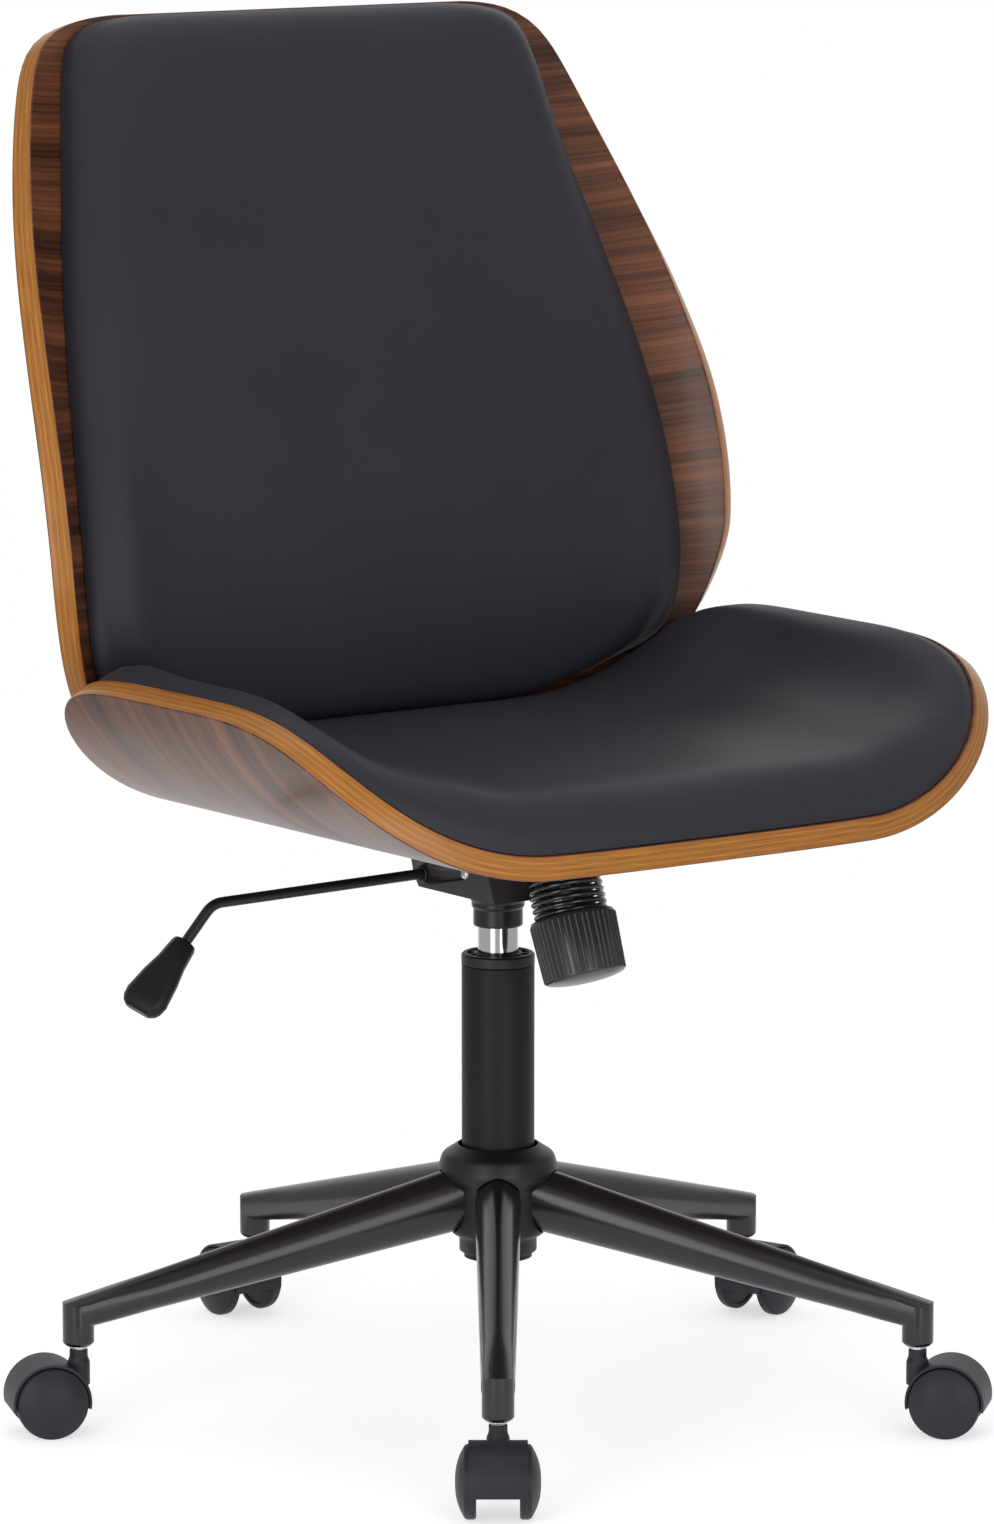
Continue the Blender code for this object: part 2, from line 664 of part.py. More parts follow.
def build_column(swivel, lift, finishes, floor_z, bearing_top):
    """The gas spring: its rod turns on the bearing at the foot, its cylinder slides up the rod."""
    rod_profile = [
        (0.0, ROD_TOP_Z),
        (ROD_R, ROD_TOP_Z),
        (ROD_R, bearing_top + GAP + ROD_SHOULDER_HEIGHT),
        (ROD_SHOULDER_R, bearing_top + GAP + ROD_SHOULDER_HEIGHT),
        (ROD_SHOULDER_R, bearing_top + GAP),
        (ROD_R, bearing_top + GAP),
        (ROD_R, floor_z - CLIP_HEIGHT - 0.5 * ROD_TAIL),
        (0.0, floor_z - CLIP_HEIGHT - 0.5 * ROD_TAIL),
    ]
    solid("piston_rod", turned(rod_profile, SMALL_ROUND), finishes["steel"], swivel)
    clip_top = floor_z - GAP
    clip = [
        (CLIP_R, clip_top),
        (CLIP_R, clip_top - CLIP_HEIGHT),
        (ROD_R + GAP, clip_top - CLIP_HEIGHT),
        (ROD_R + GAP, clip_top),
    ]
    solid("rod_clip", turned(clip, SMALL_ROUND), finishes["steel"], swivel)
    cylinder = [
        (BUTTON_R + GAP, CYLINDER_TOP_Z),
        (CYLINDER_TAPER_R, CYLINDER_TOP_Z),
        (CYLINDER_R, CYLINDER_TAPER_Z),
        (CYLINDER_R, CYLINDER_BOTTOM_Z + EASE),
        (CYLINDER_R - EASE, CYLINDER_BOTTOM_Z),
        (ROD_R + GAP, CYLINDER_BOTTOM_Z),
        (ROD_R + GAP, ROD_BORE_TOP_Z),
        (0.0, ROD_BORE_TOP_Z),
    ]
    button_floor = [(0.0, CYLINDER_TOP_Z - BUTTON_BORE_DEPTH)]
    button_floor += [(BUTTON_R + GAP, CYLINDER_TOP_Z - BUTTON_BORE_DEPTH)]
    solid("gas_cylinder", turned(button_floor + cylinder), finishes["chrome"], lift)


def build_button(frame, finishes):
    """The valve's button on top of the cylinder."""
    top = CYLINDER_TOP_Z + BUTTON_RISE
    low = CYLINDER_TOP_Z - BUTTON_DEPTH
    solid("release_button", rod(BUTTON_R, low, top), finishes["steel"], frame)


def plate_top_z():
    return SEAT_Z - SEAT_THICKNESS - GAP


def plate_bottom_z():
    return plate_top_z() - PLATE_THICKNESS


def lip_point():
    """Where the spring's axis crosses the housing's lip, as (forward, up)."""
    return (
        PIN_F + LIP_REACH * math.cos(SPRING_LEAN),
        PIN_Z + LIP_REACH * math.sin(SPRING_LEAN),
    )


def beside_axis(along, down):
    """A (forward, up) point measured along the lip and down the spring's axis from the lip's middle."""
    forward, up = lip_point()
    return (
        forward + along * math.cos(SPRING_LEAN) + down * math.sin(SPRING_LEAN),
        up + along * math.sin(SPRING_LEAN) - down * math.cos(SPRING_LEAN),
    )


def axis_matrix():
    forward, up = lip_point()
    return Matrix.Translation((0.0, -forward, up)) @ Matrix.Rotation(-SPRING_LEAN, 4, "X")


def spring_top():
    return 0.5 * LIP_THICKNESS + GAP


def cup_top():
    return spring_top() + SPRING_LENGTH + GAP


def recess_floor():
    return cup_top() + CUP_WALL + GAP


def housing_outline(inset, top):
    """Side view of the housing, from the rear top round its floor to the front of the lip."""
    spring_clear = SPRING_R + WIRE_R + HOUSING_FRONT_GAP
    under_lip = 0.5 * LIP_THICKNESS
    floor_z = HOUSING_FLOOR_Z + inset
    drop = (lip_point()[1] - HOUSING_FLOOR_Z) / math.cos(SPRING_LEAN)
    foot = beside_axis(-spring_clear, drop - spring_clear * math.tan(SPRING_LEAN))
    reach = SPRING_R + WIRE_R + LIP_MARGIN
    waist_z = HOUSING_REAR_TOP_Z - 0.5 * (HOUSING_REAR_TOP_Z - HOUSING_FLOOR_Z)
    lip_inner = beside_axis(-spring_clear - inset, under_lip - inset)
    return [
        (HOUSING_REAR_TOP + inset, HOUSING_REAR_TOP_Z if inset == 0.0 else top),
        (HOUSING_REAR_TOP + inset + 0.002, HOUSING_REAR_TOP_Z - 0.007),
        (HOUSING_REAR + inset - 0.003, waist_z),
        (HOUSING_REAR + inset, HOUSING_FLOOR_Z + 0.008),
        (HOUSING_REAR + inset + 0.006, floor_z),
        (foot[0] - inset * math.cos(SPRING_LEAN), floor_z),
        lip_inner,
        beside_axis(reach - inset, under_lip - inset),
        (beside_axis(reach - inset, under_lip - inset)[0], top),
    ]


def build_housing(frame, finishes):
    """Pressed steel pan: two side walls, a floor, and a lip that the spring pushes up against."""
    top = plate_bottom_z() - GAP
    outline = housing_outline(0.0, top) + [(PIN_F, top)]
    housing = solid("tilt_housing", extruded(outline, HOUSING_HALF_WIDTH), finishes["mechanism"], frame)
    inner_half = HOUSING_HALF_WIDTH - HOUSING_WALL
    inner = extruded(housing_outline(HOUSING_WALL, top + 0.02), inner_half)
    cavity = cutter("housing_cavity", inner, frame)
    combine(housing, cavity, "DIFFERENCE")
    sideways = Matrix.Rotation(math.radians(90), 4, "Y")
    pin_place = (0.0, -PIN_F, PIN_Z)
    through = 2.0 * HOUSING_HALF_WIDTH
    pin_hole = rod(PIN_R + GAP, -through, through, SMALL_ROUND, pin_place, sideways)
    combine(housing, cutter("pin_hole", pin_hole, frame), "DIFFERENCE")
    wall_x = HOUSING_HALF_WIDTH - 0.5 * HOUSING_WALL
    bush_place = (-wall_x, -LEVER_F, LEVER_Z)
    through = 2.0 * HOUSING_WALL
    bush_hole = rod(BUSH_R + GAP, -through, through, SMALL_ROUND, bush_place, sideways)
    combine(housing, cutter("bush_hole", bush_hole, frame), "DIFFERENCE")
    socket_hole = rod(COLLAR_NECK_R + GAP, HOUSING_FLOOR_Z - 0.01, HOUSING_FLOOR_Z + 0.01, ROUND)
    combine(housing, cutter("socket_hole", socket_hole, frame), "DIFFERENCE")
    bolt_hole = rod(TENSION_BOLT_R + BOLT_SLACK, -0.01, 0.01)
    bmesh.ops.transform(bolt_hole, matrix=axis_matrix(), verts=bolt_hole.verts)
    combine(housing, cutter("bolt_hole", bolt_hole, frame), "DIFFERENCE")

    flare_top = HOUSING_FLOOR_Z - GAP
    lip_z = COLLAR_FLARE_Z - COLLAR_LIP_HEIGHT
    collar = [
        (CYLINDER_R + GAP, COLLAR_BOTTOM_Z),
        (COLLAR_R - 0.0008, COLLAR_BOTTOM_Z),
        (COLLAR_R, COLLAR_BOTTOM_Z + 0.0008),
        (COLLAR_R, lip_z),
        (COLLAR_LIP_R, lip_z + 0.0008),
        (COLLAR_LIP_R, COLLAR_FLARE_Z),
        (COLLAR_FLARE_R, flare_top - 0.0015),
        (COLLAR_FLARE_R, flare_top),
        (COLLAR_NECK_R, flare_top),
        (COLLAR_NECK_R, COLLAR_TOP_Z),
        (CYLINDER_TAPER_R + GAP, COLLAR_TOP_Z),
        (CYLINDER_TAPER_R + GAP, CYLINDER_TOP_Z),
        (CYLINDER_R + GAP, CYLINDER_TAPER_Z),
    ]
    solid("column_socket", turned(collar), finishes["mechanism"], frame)

    pin_end = HOUSING_HALF_WIDTH + PIN_PROUD
    pin = [
        (0.0, pin_end),
        (PIN_HEAD_R, pin_end),
        (PIN_HEAD_R, HOUSING_HALF_WIDTH + GAP),
        (PIN_R, HOUSING_HALF_WIDTH + GAP),
        (PIN_R, -pin_end),
        (0.0, -pin_end),
    ]
    solid("pivot_pin", turned(pin, SMALL_ROUND, pin_place, sideways), finishes["zinc"], frame)


def build_spring(frame, finishes):
    """Helical spring between the lip and the cup, one unbroken wire."""
    first = spring_top() + WIRE_R
    turns = (SPRING_LENGTH - 2.0 * WIRE_R) / SPRING_PITCH
    count = round(turns * POINTS_PER_TURN)
    matrix = axis_matrix()
    points = []
    for i in range(count + 1):
        angle = 2.0 * math.pi * turns * i / count
        down = first + SPRING_PITCH * turns * i / count
        points.append(matrix @ Vector((SPRING_R * math.cos(angle), SPRING_R * math.sin(angle), -down)))
    least = min(
        (points[i] - points[j]).length
        for i in range(len(points))
        for j in range(i + POINTS_PER_TURN // 2, len(points))
    )
    print(f"tension_spring: least gap between turns {1000.0 * (least - 2.0 * WIRE_R):.2f} mm")
    wire_object("tension_spring", points, WIRE_R, 1, finishes["mechanism"], frame)


def wire_object(name, points, radius, resolution, finish, frame):
    curve = bpy.data.curves.new(name, "CURVE")
    curve.dimensions = "3D"
    curve.bevel_depth = radius
    curve.bevel_resolution = resolution
    curve.use_fill_caps = True
    spline = curve.splines.new("POLY")
    spline.points.add(len(points) - 1)
    for slot, point in zip(spline.points, points):
        slot.co = (*point, 1.0)
    curve.materials.append(finish)
    obj = bpy.data.objects.new(name, curve)
    bpy.context.collection.objects.link(obj)
    if frame is not None:
        obj.parent = frame
        obj.matrix_parent_inverse = Matrix.Translation(-Vector(frame["place"]))
    return obj


def build_tension_bolt(frame, finishes):
    """A stud whose foot sits under the seat plate; it runs down through the spring into the knob."""
    matrix = axis_matrix()
    foot_top = plate_bottom_z() - GAP
    foot_middle = foot_top - 0.5 * BOLT_FOOT_HEIGHT
    rise = (foot_middle - lip_point()[1]) / math.cos(SPRING_LEAN)
    shaft = rod(TENSION_BOLT_R, -(recess_floor() + BOLT_IN_KNOB), rise)
    bmesh.ops.transform(shaft, matrix=matrix, verts=shaft.verts)
    bolt = solid("tension_bolt", shaft, finishes["steel"], frame)
    foot_forward = lip_point()[0] - rise * math.sin(SPRING_LEAN)
    foot = rod(BOLT_FOOT_R, foot_top - BOLT_FOOT_HEIGHT, foot_top, SMALL_ROUND, (0.0, -foot_forward, 0.0))
    combine(bolt, cutter("bolt_foot", foot, frame), "UNION")


def build_knob(travel, knob_frame, finishes):
    """The spring's cup washer, which slides on the bolt, and the ribbed knob that turns under it."""
    matrix = axis_matrix()
    cup = [
        (TENSION_BOLT_R + BOLT_SLACK, -cup_top()),
        (CUP_R, -cup_top()),
        (CUP_R, -cup_top() - CUP_WALL),
        (TENSION_BOLT_R + BOLT_SLACK, -cup_top() - CUP_WALL),
    ]
    cup_body = turned(cup)
    bmesh.ops.transform(cup_body, matrix=matrix, verts=cup_body.verts)
    solid("spring_cup", cup_body, finishes["steel"], travel)

    top = recess_floor() - KNOB_RECESS
    sections = (
        (top, KNOB_TOP_R - 0.0012, 0.0),
        (top + 0.0012, KNOB_TOP_R, KNOB_RIB_DEPTH),
        (top + KNOB_HEIGHT - 0.001, KNOB_R, KNOB_RIB_DEPTH),
        (top + KNOB_HEIGHT, KNOB_R - 0.0015, 0.0),
        (top + KNOB_HEIGHT + 0.7 * KNOB_CROWN, 0.70 * KNOB_R, 0.0),
        (top + KNOB_HEIGHT + KNOB_CROWN, 0.32 * KNOB_R, 0.0),
    )
    rings = []
    for down, radius, groove in sections:
        ring = []
        for i in range(2 * KNOB_RIBS):
            angle = math.pi * i / KNOB_RIBS
            reach = radius - groove * (i % 2)
            ring.append((reach * math.cos(angle), reach * math.sin(angle), -down))
        rings.append(ring)
    knob_body = lofted(rings)
    bmesh.ops.transform(knob_body, matrix=matrix, verts=knob_body.verts)
    knob = solid("tension_knob", knob_body, finishes["plastic"], knob_frame)
    floor = recess_floor()
    hollow = [
        (0.0, -top + 0.01),
        (KNOB_RECESS_R, -top + 0.01),
        (KNOB_RECESS_R, -floor),
        (TENSION_BOLT_R + GAP, -floor),
        (TENSION_BOLT_R + GAP, -floor - KNOB_BORE_DEPTH),
        (0.0, -floor - KNOB_BORE_DEPTH),
    ]
    hollow_body = turned(hollow)
    bmesh.ops.transform(hollow_body, matrix=matrix, verts=hollow_body.verts)
    combine(knob, cutter("knob_hollow", hollow_body, knob_frame), "DIFFERENCE")


def lever_route():
    """The lever's centre line, from the end in the handle to the crank over the valve's button."""
    bend_z = LEVER_Z - LEVER_BEND_DROP
    crank_z = CYLINDER_TOP_Z + BUTTON_RISE + BUTTON_GAP + LEVER_R
    level = Vector((1.0, 0.0, LEVER_BEND_DROP / (-LEVER_BEND_X - HOUSING_HALF_WIDTH))).normalized()
    fall = Vector((-math.cos(LEVER_FALL), 0.0, -math.sin(LEVER_FALL)))
    bend = Vector((LEVER_BEND_X, -LEVER_F, bend_z))
    tangent = LEVER_BEND_R * math.tan(0.5 * level.angle(-fall))
    start = bend + fall * tangent
    end = bend + level * tangent
    centre = bend + (fall + level).normalized() * LEVER_BEND_R / math.cos(0.5 * level.angle(-fall))
    route = [bend + fall * LEVER_TAIL]
    for i in range(BEND_STEPS + 1):
        along = start.lerp(end, i / BEND_STEPS) - centre
        route.append(centre + along.normalized() * LEVER_BEND_R)
    route.append(Vector((-HOUSING_HALF_WIDTH - 0.004, -LEVER_F, LEVER_Z)))
    ease = 0.5 * CRANK_SLANT
    route.append(Vector((CRANK_IN_X, -LEVER_F, LEVER_Z)))
    route.append(Vector((CRANK_IN_X + CRANK_SLANT, -LEVER_F - CRANK_SLANT, LEVER_Z + ease)))
    route.append(Vector((CRANK_OVER_X - CRANK_SLANT - GAP, CRANK_SLANT, crank_z - ease)))
    route.append(Vector((CRANK_OVER_X, 0.0, crank_z)))
    route.append(Vector((CRANK_END_X, 0.0, crank_z)))
    return route


def build_lever(swing, pull, finishes):
    """Bush in the housing's wall, the bent rod through it and the paddle at the rod's end."""
    wall_x = HOUSING_HALF_WIDTH - 0.5 * HOUSING_WALL
    inner = 0.5 * HOUSING_WALL + BUSH_FLANGE_GAP
    outer = inner + BUSH_FLANGE
    spool = [
        (LEVER_R + GAP, -outer),
        (BUSH_FLANGE_R, -outer),
        (BUSH_FLANGE_R, -inner),
        (BUSH_R, -inner),
        (BUSH_R, inner),
        (BUSH_FLANGE_R, inner),
        (BUSH_FLANGE_R, outer),
        (LEVER_R + GAP, outer),
    ]
    sideways = Matrix.Rotation(math.radians(90), 4, "Y")
    spool_body = turned(spool, SMALL_ROUND, (-wall_x, -LEVER_F, LEVER_Z), sideways)
    solid("lever_bush", spool_body, finishes["plastic"], swing)
    wire_object("lever_rod", lever_route(), LEVER_R, 2, finishes["mechanism"], pull)

    fall = Vector((-math.cos(LEVER_FALL), 0.0, -math.sin(LEVER_FALL)))
    up = Vector((-math.sin(LEVER_FALL), 0.0, math.cos(LEVER_FALL)))
    across = Vector((0.0, 1.0, 0.0)) * math.cos(HANDLE_TURN) + up * math.sin(HANDLE_TURN)
    up = up * math.cos(HANDLE_TURN) - Vector((0.0, 1.0, 0.0)) * math.sin(HANDLE_TURN)
    bend = Vector((LEVER_BEND_X, -LEVER_F, LEVER_Z - LEVER_BEND_DROP))
    rings = []
    for share, width, depth in HANDLE_SECTIONS:
        centre = bend + fall * (HANDLE_START + share * HANDLE_LENGTH)
        section = oval(width, depth, HANDLE_ROUNDNESS, PADDLE_FACETS)
        rings.append([centre + across * x + up * y for x, y in section])
    handle = solid("lever_handle", lofted(rings), finishes["plastic"], pull)
    tail = bend + fall * (LEVER_TAIL + RUN_GAP)
    mouth = bend + fall * (HANDLE_START - HANDLE_MOUTH)
    turn = fall.to_track_quat("Z", "Y").to_matrix().to_4x4()
    bore = rod(LEVER_R + GAP, 0.0, (tail - mouth).length, 12, mouth, turn)
    combine(handle, cutter("handle_bore", bore, pull), "DIFFERENCE")


def seat_point(span, forward, off):
    """A point of the seat's sheet by developed width and distance forward, raised off its top face."""
    side = math.copysign(1.0, span)
    run = abs(span)
    flat = min(run, SEAT_FLAT)
    bend = min((run - flat) / SEAT_BEND_R, SEAT_BEND)
    extra = run - flat - SEAT_BEND_R * bend
    across = flat + SEAT_BEND_R * math.sin(bend) + extra * math.cos(bend) - off * math.sin(bend)
    level = SEAT_Z + SEAT_BEND_R * (1.0 - math.cos(bend)) + extra * math.sin(bend) + off * math.cos(bend)
    return (side * across, -forward, level)


def both_sides(shares):
    return [-share for share in reversed(shares)] + shares[1:]


def seat_columns(edge_shares=()):
    """Columns of the seat's grid: few on the flat, close together round the bend."""
    flat = SEAT_FLAT / SEAT_HALF_SPAN
    shares = [0.0, 0.5 * flat]
    shares += [flat + (1.0 - flat) * i / 9.0 for i in range(9)]
    shares += list(edge_shares)
    shares.append(1.0)
    return both_sides(shares)


def seat_grid(columns, rows, inset, height_at):
    """Grid of the seat's sheet, its border a full round-cornered outline; the height comes from a function
    of the developed width, the share of the way out, and the distance to the border."""
    grid = []
    for b in rows:
        roundness = SEAT_FRONT_ROUNDNESS if b > 0.0 else SEAT_REAR_ROUNDNESS
        reach = (SEAT_FRONT_REACH if b > 0.0 else SEAT_REAR_REACH) - inset
        span = SEAT_HALF_SPAN - inset
        row = []
        for a in columns:
            out = max(abs(a), abs(b))
            side, ahead = (a / out, b / out) if out > 0.0 else (0.0, 1.0)
            full = (abs(side) ** roundness + abs(ahead) ** roundness) ** (-1.0 / roundness)
            border = math.hypot(span * side * full, reach * ahead * full)
            height = height_at(span * a * full, side, ahead, out, (1.0 - out) * border)
            row.append(seat_point(span * a * full, SEAT_MIDDLE + reach * b * full, height))
        grid.append(row)
    return grid


def seat_pad_height(span, a, b, out, distance):
    """Foam depth: full over the flat and at the rear, thinner up the wings ahead, filled out in the bends at
    the rear, and rounded down to the ply at the border."""
    rear = eased(SEAT_PAD_REAR_FROM, SEAT_PAD_REAR_TO, max(-b, 0.0) * out)
    thin = eased(SEAT_PAD_THIN_FROM, SEAT_PAD_THIN_TO, abs(span)) * (1.0 - rear)
    fill = eased(SEAT_PAD_FILL_FROM, SEAT_PAD_FILL_TO, abs(span)) * rear
    depth = SEAT_PAD_DEPTH + (SEAT_PAD_WING_DEPTH - SEAT_PAD_DEPTH) * thin
    depth += SEAT_PAD_CROWN * (1.0 - out * out) + SEAT_PAD_FILL * fill
    ends = SEAT_PAD_EDGE_FRONT if b > 0.0 else SEAT_PAD_EDGE_REAR
    share = a * a / (a * a + b * b)
    return PAD_GAP + depth * domed(distance, SEAT_PAD_EDGE_SIDE * share + ends * (1.0 - share))


def build_seat(frame, finishes):
    """Bent ply seat with its upholstered pad."""
    rows = both_sides([0.0, 0.30, 0.56, 0.74, 0.86, 0.94, 1.0])
    columns = seat_columns()
    top = seat_grid(columns, rows, 0.0, lambda *place: 0.0)
    bottom = seat_grid(columns, rows, 0.0, lambda *place: -SEAT_THICKNESS)
    shell = solid("seat_shell", grid_body(top, bottom), finishes["ply"], frame)
    for x in (-BOLT_X, BOLT_X):
        for forward in (BOLT_FRONT, BOLT_REAR):
            low = SEAT_Z - 2.0 * SEAT_THICKNESS
            high = plate_top_z() + GAP + BOLT_GRIP + RUN_GAP
            hole = rod(BOLT_R + GAP, low, high, 12, (x, -forward, 0.0))
            combine(shell, cutter("seat_bolt_hole", hole, frame), "DIFFERENCE")

    pad_rows = both_sides([0.0, 0.30, 0.56, 0.74, 0.86, 0.94, 0.975, 0.993, 1.0])
    pad_columns = seat_columns((0.965, 0.990))
    pad_top = seat_grid(pad_columns, pad_rows, SEAT_PAD_INSET, seat_pad_height)
    pad_bottom = seat_grid(pad_columns, pad_rows, SEAT_PAD_INSET, lambda *place: PAD_GAP)
    solid("seat_cushion", grid_body(pad_top, pad_bottom), finishes["upholstery"], frame)


def back_lean(height):
    """Lean of the spine from upright: none at its foot and below, most at the small of the back."""
    if height <= 0.0:
        return 0.0
    middle = BACK_LEAN_MIDDLE / BACK_LEAN_MIDDLE_AT
    top = BACK_LEAN_TOP / BACK_LEAN_TOP_AT
    bend = (top - middle) / (BACK_LEAN_TOP_AT - BACK_LEAN_MIDDLE_AT)
    return height * (middle + bend * (height - BACK_LEAN_MIDDLE_AT))


def spine_point(height):
    """(forward, up) on the front face's middle line, a length up from the spine's foot."""
    forward, up = BACK_F, BACK_Z
    step = height / SPINE_STEPS
    for i in range(SPINE_STEPS):
        lean = back_lean((i + 0.5) * step)
        forward -= math.sin(lean) * step
        up += math.cos(lean) * step
    return forward, up


def back_point(spine, lean, span, off):
    """A point of the back's sheet beside a spine point, raised off its front face."""
    side = math.copysign(1.0, span)
    flat = min(abs(span), BACK_FLAT)
    bend = (abs(span) - flat) / BACK_BEND_R
    across = flat + (BACK_BEND_R - off) * math.sin(bend)
    ahead = BACK_BEND_R * (1.0 - math.cos(bend)) + off * math.cos(bend)
    return (
        side * across,
        -(spine[0] + ahead * math.cos(lean)),
        spine[1] + ahead * math.sin(lean),
    )


def rounded_top(height, start, top, roundness):
    """Share of the half width left near a top edge whose corners are rounded."""
    share = min(max((height - start) / (top - start), 0.0), 1.0)
    return (1.0 - share**roundness) ** (1.0 / roundness)


def back_half_width(height):
    top_part = rounded_top(height, BACK_CORNER_FROM, BACK_TOP, BACK_CORNER_ROUNDNESS)
    return smooth_between(BACK_HALF_WIDTHS, height) * top_part


def back_pad_half_width(height):
    top_part = rounded_top(height, BACK_PAD_CORNER_FROM, BACK_PAD_TOP, BACK_PAD_CORNER_ROUNDNESS)
    return smooth_between(BACK_PAD_HALF_WIDTHS, height) * top_part


def back_grid(heights, columns, half_width_at, off_at):
    grid = []
    for height in heights:
        spine = spine_point(height)
        lean = back_lean(height)
        half = half_width_at(height)
        grid.append([back_point(spine, lean, share * half, off_at(share, half, height)) for share in columns])
    return grid


def back_pad_height(share, half, height):
    """Foam depth: crowned, and rounded down to the ply at the sides, the top and the bottom."""
    last = back_pad_last()
    along = (height - BACK_PAD_BOTTOM) / (last - BACK_PAD_BOTTOM)
    depth = BACK_PAD_DEPTH + BACK_PAD_CROWN * (1.0 - share * share) * 4.0 * along * (1.0 - along)
    depth *= domed((1.0 - abs(share)) * half, BACK_PAD_EDGE_SIDE)
    depth *= domed(last - height, BACK_PAD_EDGE_TOP)
    depth *= domed(height - BACK_PAD_BOTTOM, BACK_PAD_EDGE_BOTTOM)
    return PAD_GAP + depth


def back_pad_last():
    return BACK_PAD_CORNER_FROM + (BACK_PAD_TOP - BACK_PAD_CORNER_FROM) * CORNER_CUT


def build_back(frame, finishes):
    """Bent ply back with its upholstered pad."""
    last = BACK_CORNER_FROM + (BACK_TOP - BACK_CORNER_FROM) * CORNER_CUT
    columns = both_sides([0.0, 0.35, 0.64, 0.70, 0.76, 0.82, 0.88, 0.94, 1.0])
    low = [BACK_TAIL * (1.0 - share) for share in (0.0, 0.25, 0.5, 0.75)]
    middle = [BACK_ROW * i for i in range(math.ceil(BACK_CORNER_FROM / BACK_ROW) + 1)]
    high = [middle[-1] + (last - middle[-1]) * share for share in (0.35, 0.65, 0.82, 0.93, 1.0)]
    heights = low + middle + high
    front = back_grid(heights, columns, back_half_width, lambda *place: 0.0)
    rear = back_grid(heights, columns, back_half_width, lambda *place: -BACK_THICKNESS)
    shell = solid("back_shell", grid_body(front, rear), finishes["ply"], frame)
    rearwards = Matrix.Rotation(math.radians(90), 4, "X")
    outer = -BACK_F + BACK_THICKNESS
    for x in (-SCREW_X, SCREW_X):
        low, high = -(outer + 0.02), -(outer - SCREW_GRIP - RUN_GAP)
        hole = rod(BOLT_R + GAP, low, high, 12, (x, 0.0, SCREW_Z), rearwards)
        combine(shell, cutter("bracket_screw_hole", hole, frame), "DIFFERENCE")

    shares = [0.0, 0.28, 0.55, 0.72, 0.80, 0.87, 0.925, 0.965, 0.99, 1.0]
    last = back_pad_last()
    low = [BACK_PAD_BOTTOM * (1.0 - share) for share in (0.0, 0.06, 0.18, 0.36, 0.65)]
    high = [middle[-1] + (last - middle[-1]) * share for share in (0.35, 0.60, 0.78, 0.89, 0.96, 1.0)]
    pad_heights = low + middle + high
    pad_columns = both_sides(shares)
    pad_front = back_grid(pad_heights, pad_columns, back_pad_half_width, back_pad_height)
    pad_rear = back_grid(pad_heights, pad_columns, back_pad_half_width, lambda *place: PAD_GAP)
    solid("back_cushion", grid_body(pad_front, pad_rear), finishes["upholstery"], frame)


def plate_corners(half_x, low_f, high_f, cut):
    return [
        (half_x - cut, low_f), (half_x, low_f + cut), (half_x, high_f - cut), (half_x - cut, high_f),
        (-half_x + cut, high_f), (-half_x, high_f - cut), (-half_x, low_f + cut), (-half_x + cut, low_f),
    ]


def build_plate(frame, finishes):
    """Steel plate under the seat with an ear inside each wall of the housing, and its four bolts."""
    top, bottom = plate_top_z(), plate_bottom_z()
    corners = plate_corners(PLATE_HALF_WIDTH, PLATE_REAR, PLATE_FRONT, EAR_R)
    rings = [[(x, -f, z) for x, f in corners] for z in (bottom, top)]
    plate = solid("seat_plate", lofted(rings), finishes["mechanism"], frame)
    sideways = Matrix.Rotation(math.radians(90), 4, "Y")
    ear_x = HOUSING_HALF_WIDTH - HOUSING_WALL - GAP - 0.5 * EAR_THICKNESS
    for side in (-1.0, 1.0):
        outline = [(PIN_F + EAR_R, bottom + 0.001), (PIN_F - EAR_R, bottom + 0.001)]
        outline += arc((PIN_F, PIN_Z), EAR_R, math.pi, 2.0 * math.pi, EAR_STEPS)
        ear = cutter("ear", extruded(outline, 0.5 * EAR_THICKNESS, side * ear_x), frame)
        combine(plate, ear, "UNION")
    reach = HOUSING_HALF_WIDTH
    pin_hole = rod(PIN_R + GAP, -reach, reach, SMALL_ROUND, (0.0, -PIN_F, PIN_Z), sideways)
    combine(plate, cutter("ear_hole", pin_hole, frame), "DIFFERENCE")
    number = 0
    for x in (-BOLT_X, BOLT_X):
        for forward in (BOLT_FRONT, BOLT_REAR):
            hole = rod(BOLT_R + GAP, bottom - 0.01, top + 0.01, 12, (x, -forward, 0.0))
            combine(plate, cutter("plate_bolt_hole", hole, frame), "DIFFERENCE")
            seat_at = bottom - GAP
            if forward == BOLT_REAR:
                seat_at -= BRACKET_THICKNESS + GAP
            number += 1
            bolt = [
                (0.0, top + GAP + BOLT_GRIP),
                (BOLT_R, top + GAP + BOLT_GRIP),
                (BOLT_R, seat_at),
                (BOLT_HEAD_R, seat_at),
                (BOLT_HEAD_R, seat_at - BOLT_HEAD_HEIGHT + EASE),
                (BOLT_HEAD_R - EASE, seat_at - BOLT_HEAD_HEIGHT),
                (0.0, seat_at - BOLT_HEAD_HEIGHT),
            ]
            solid(f"seat_bolt_{number}", turned(bolt, 12, (x, -forward, 0.0)), finishes["steel"], frame)


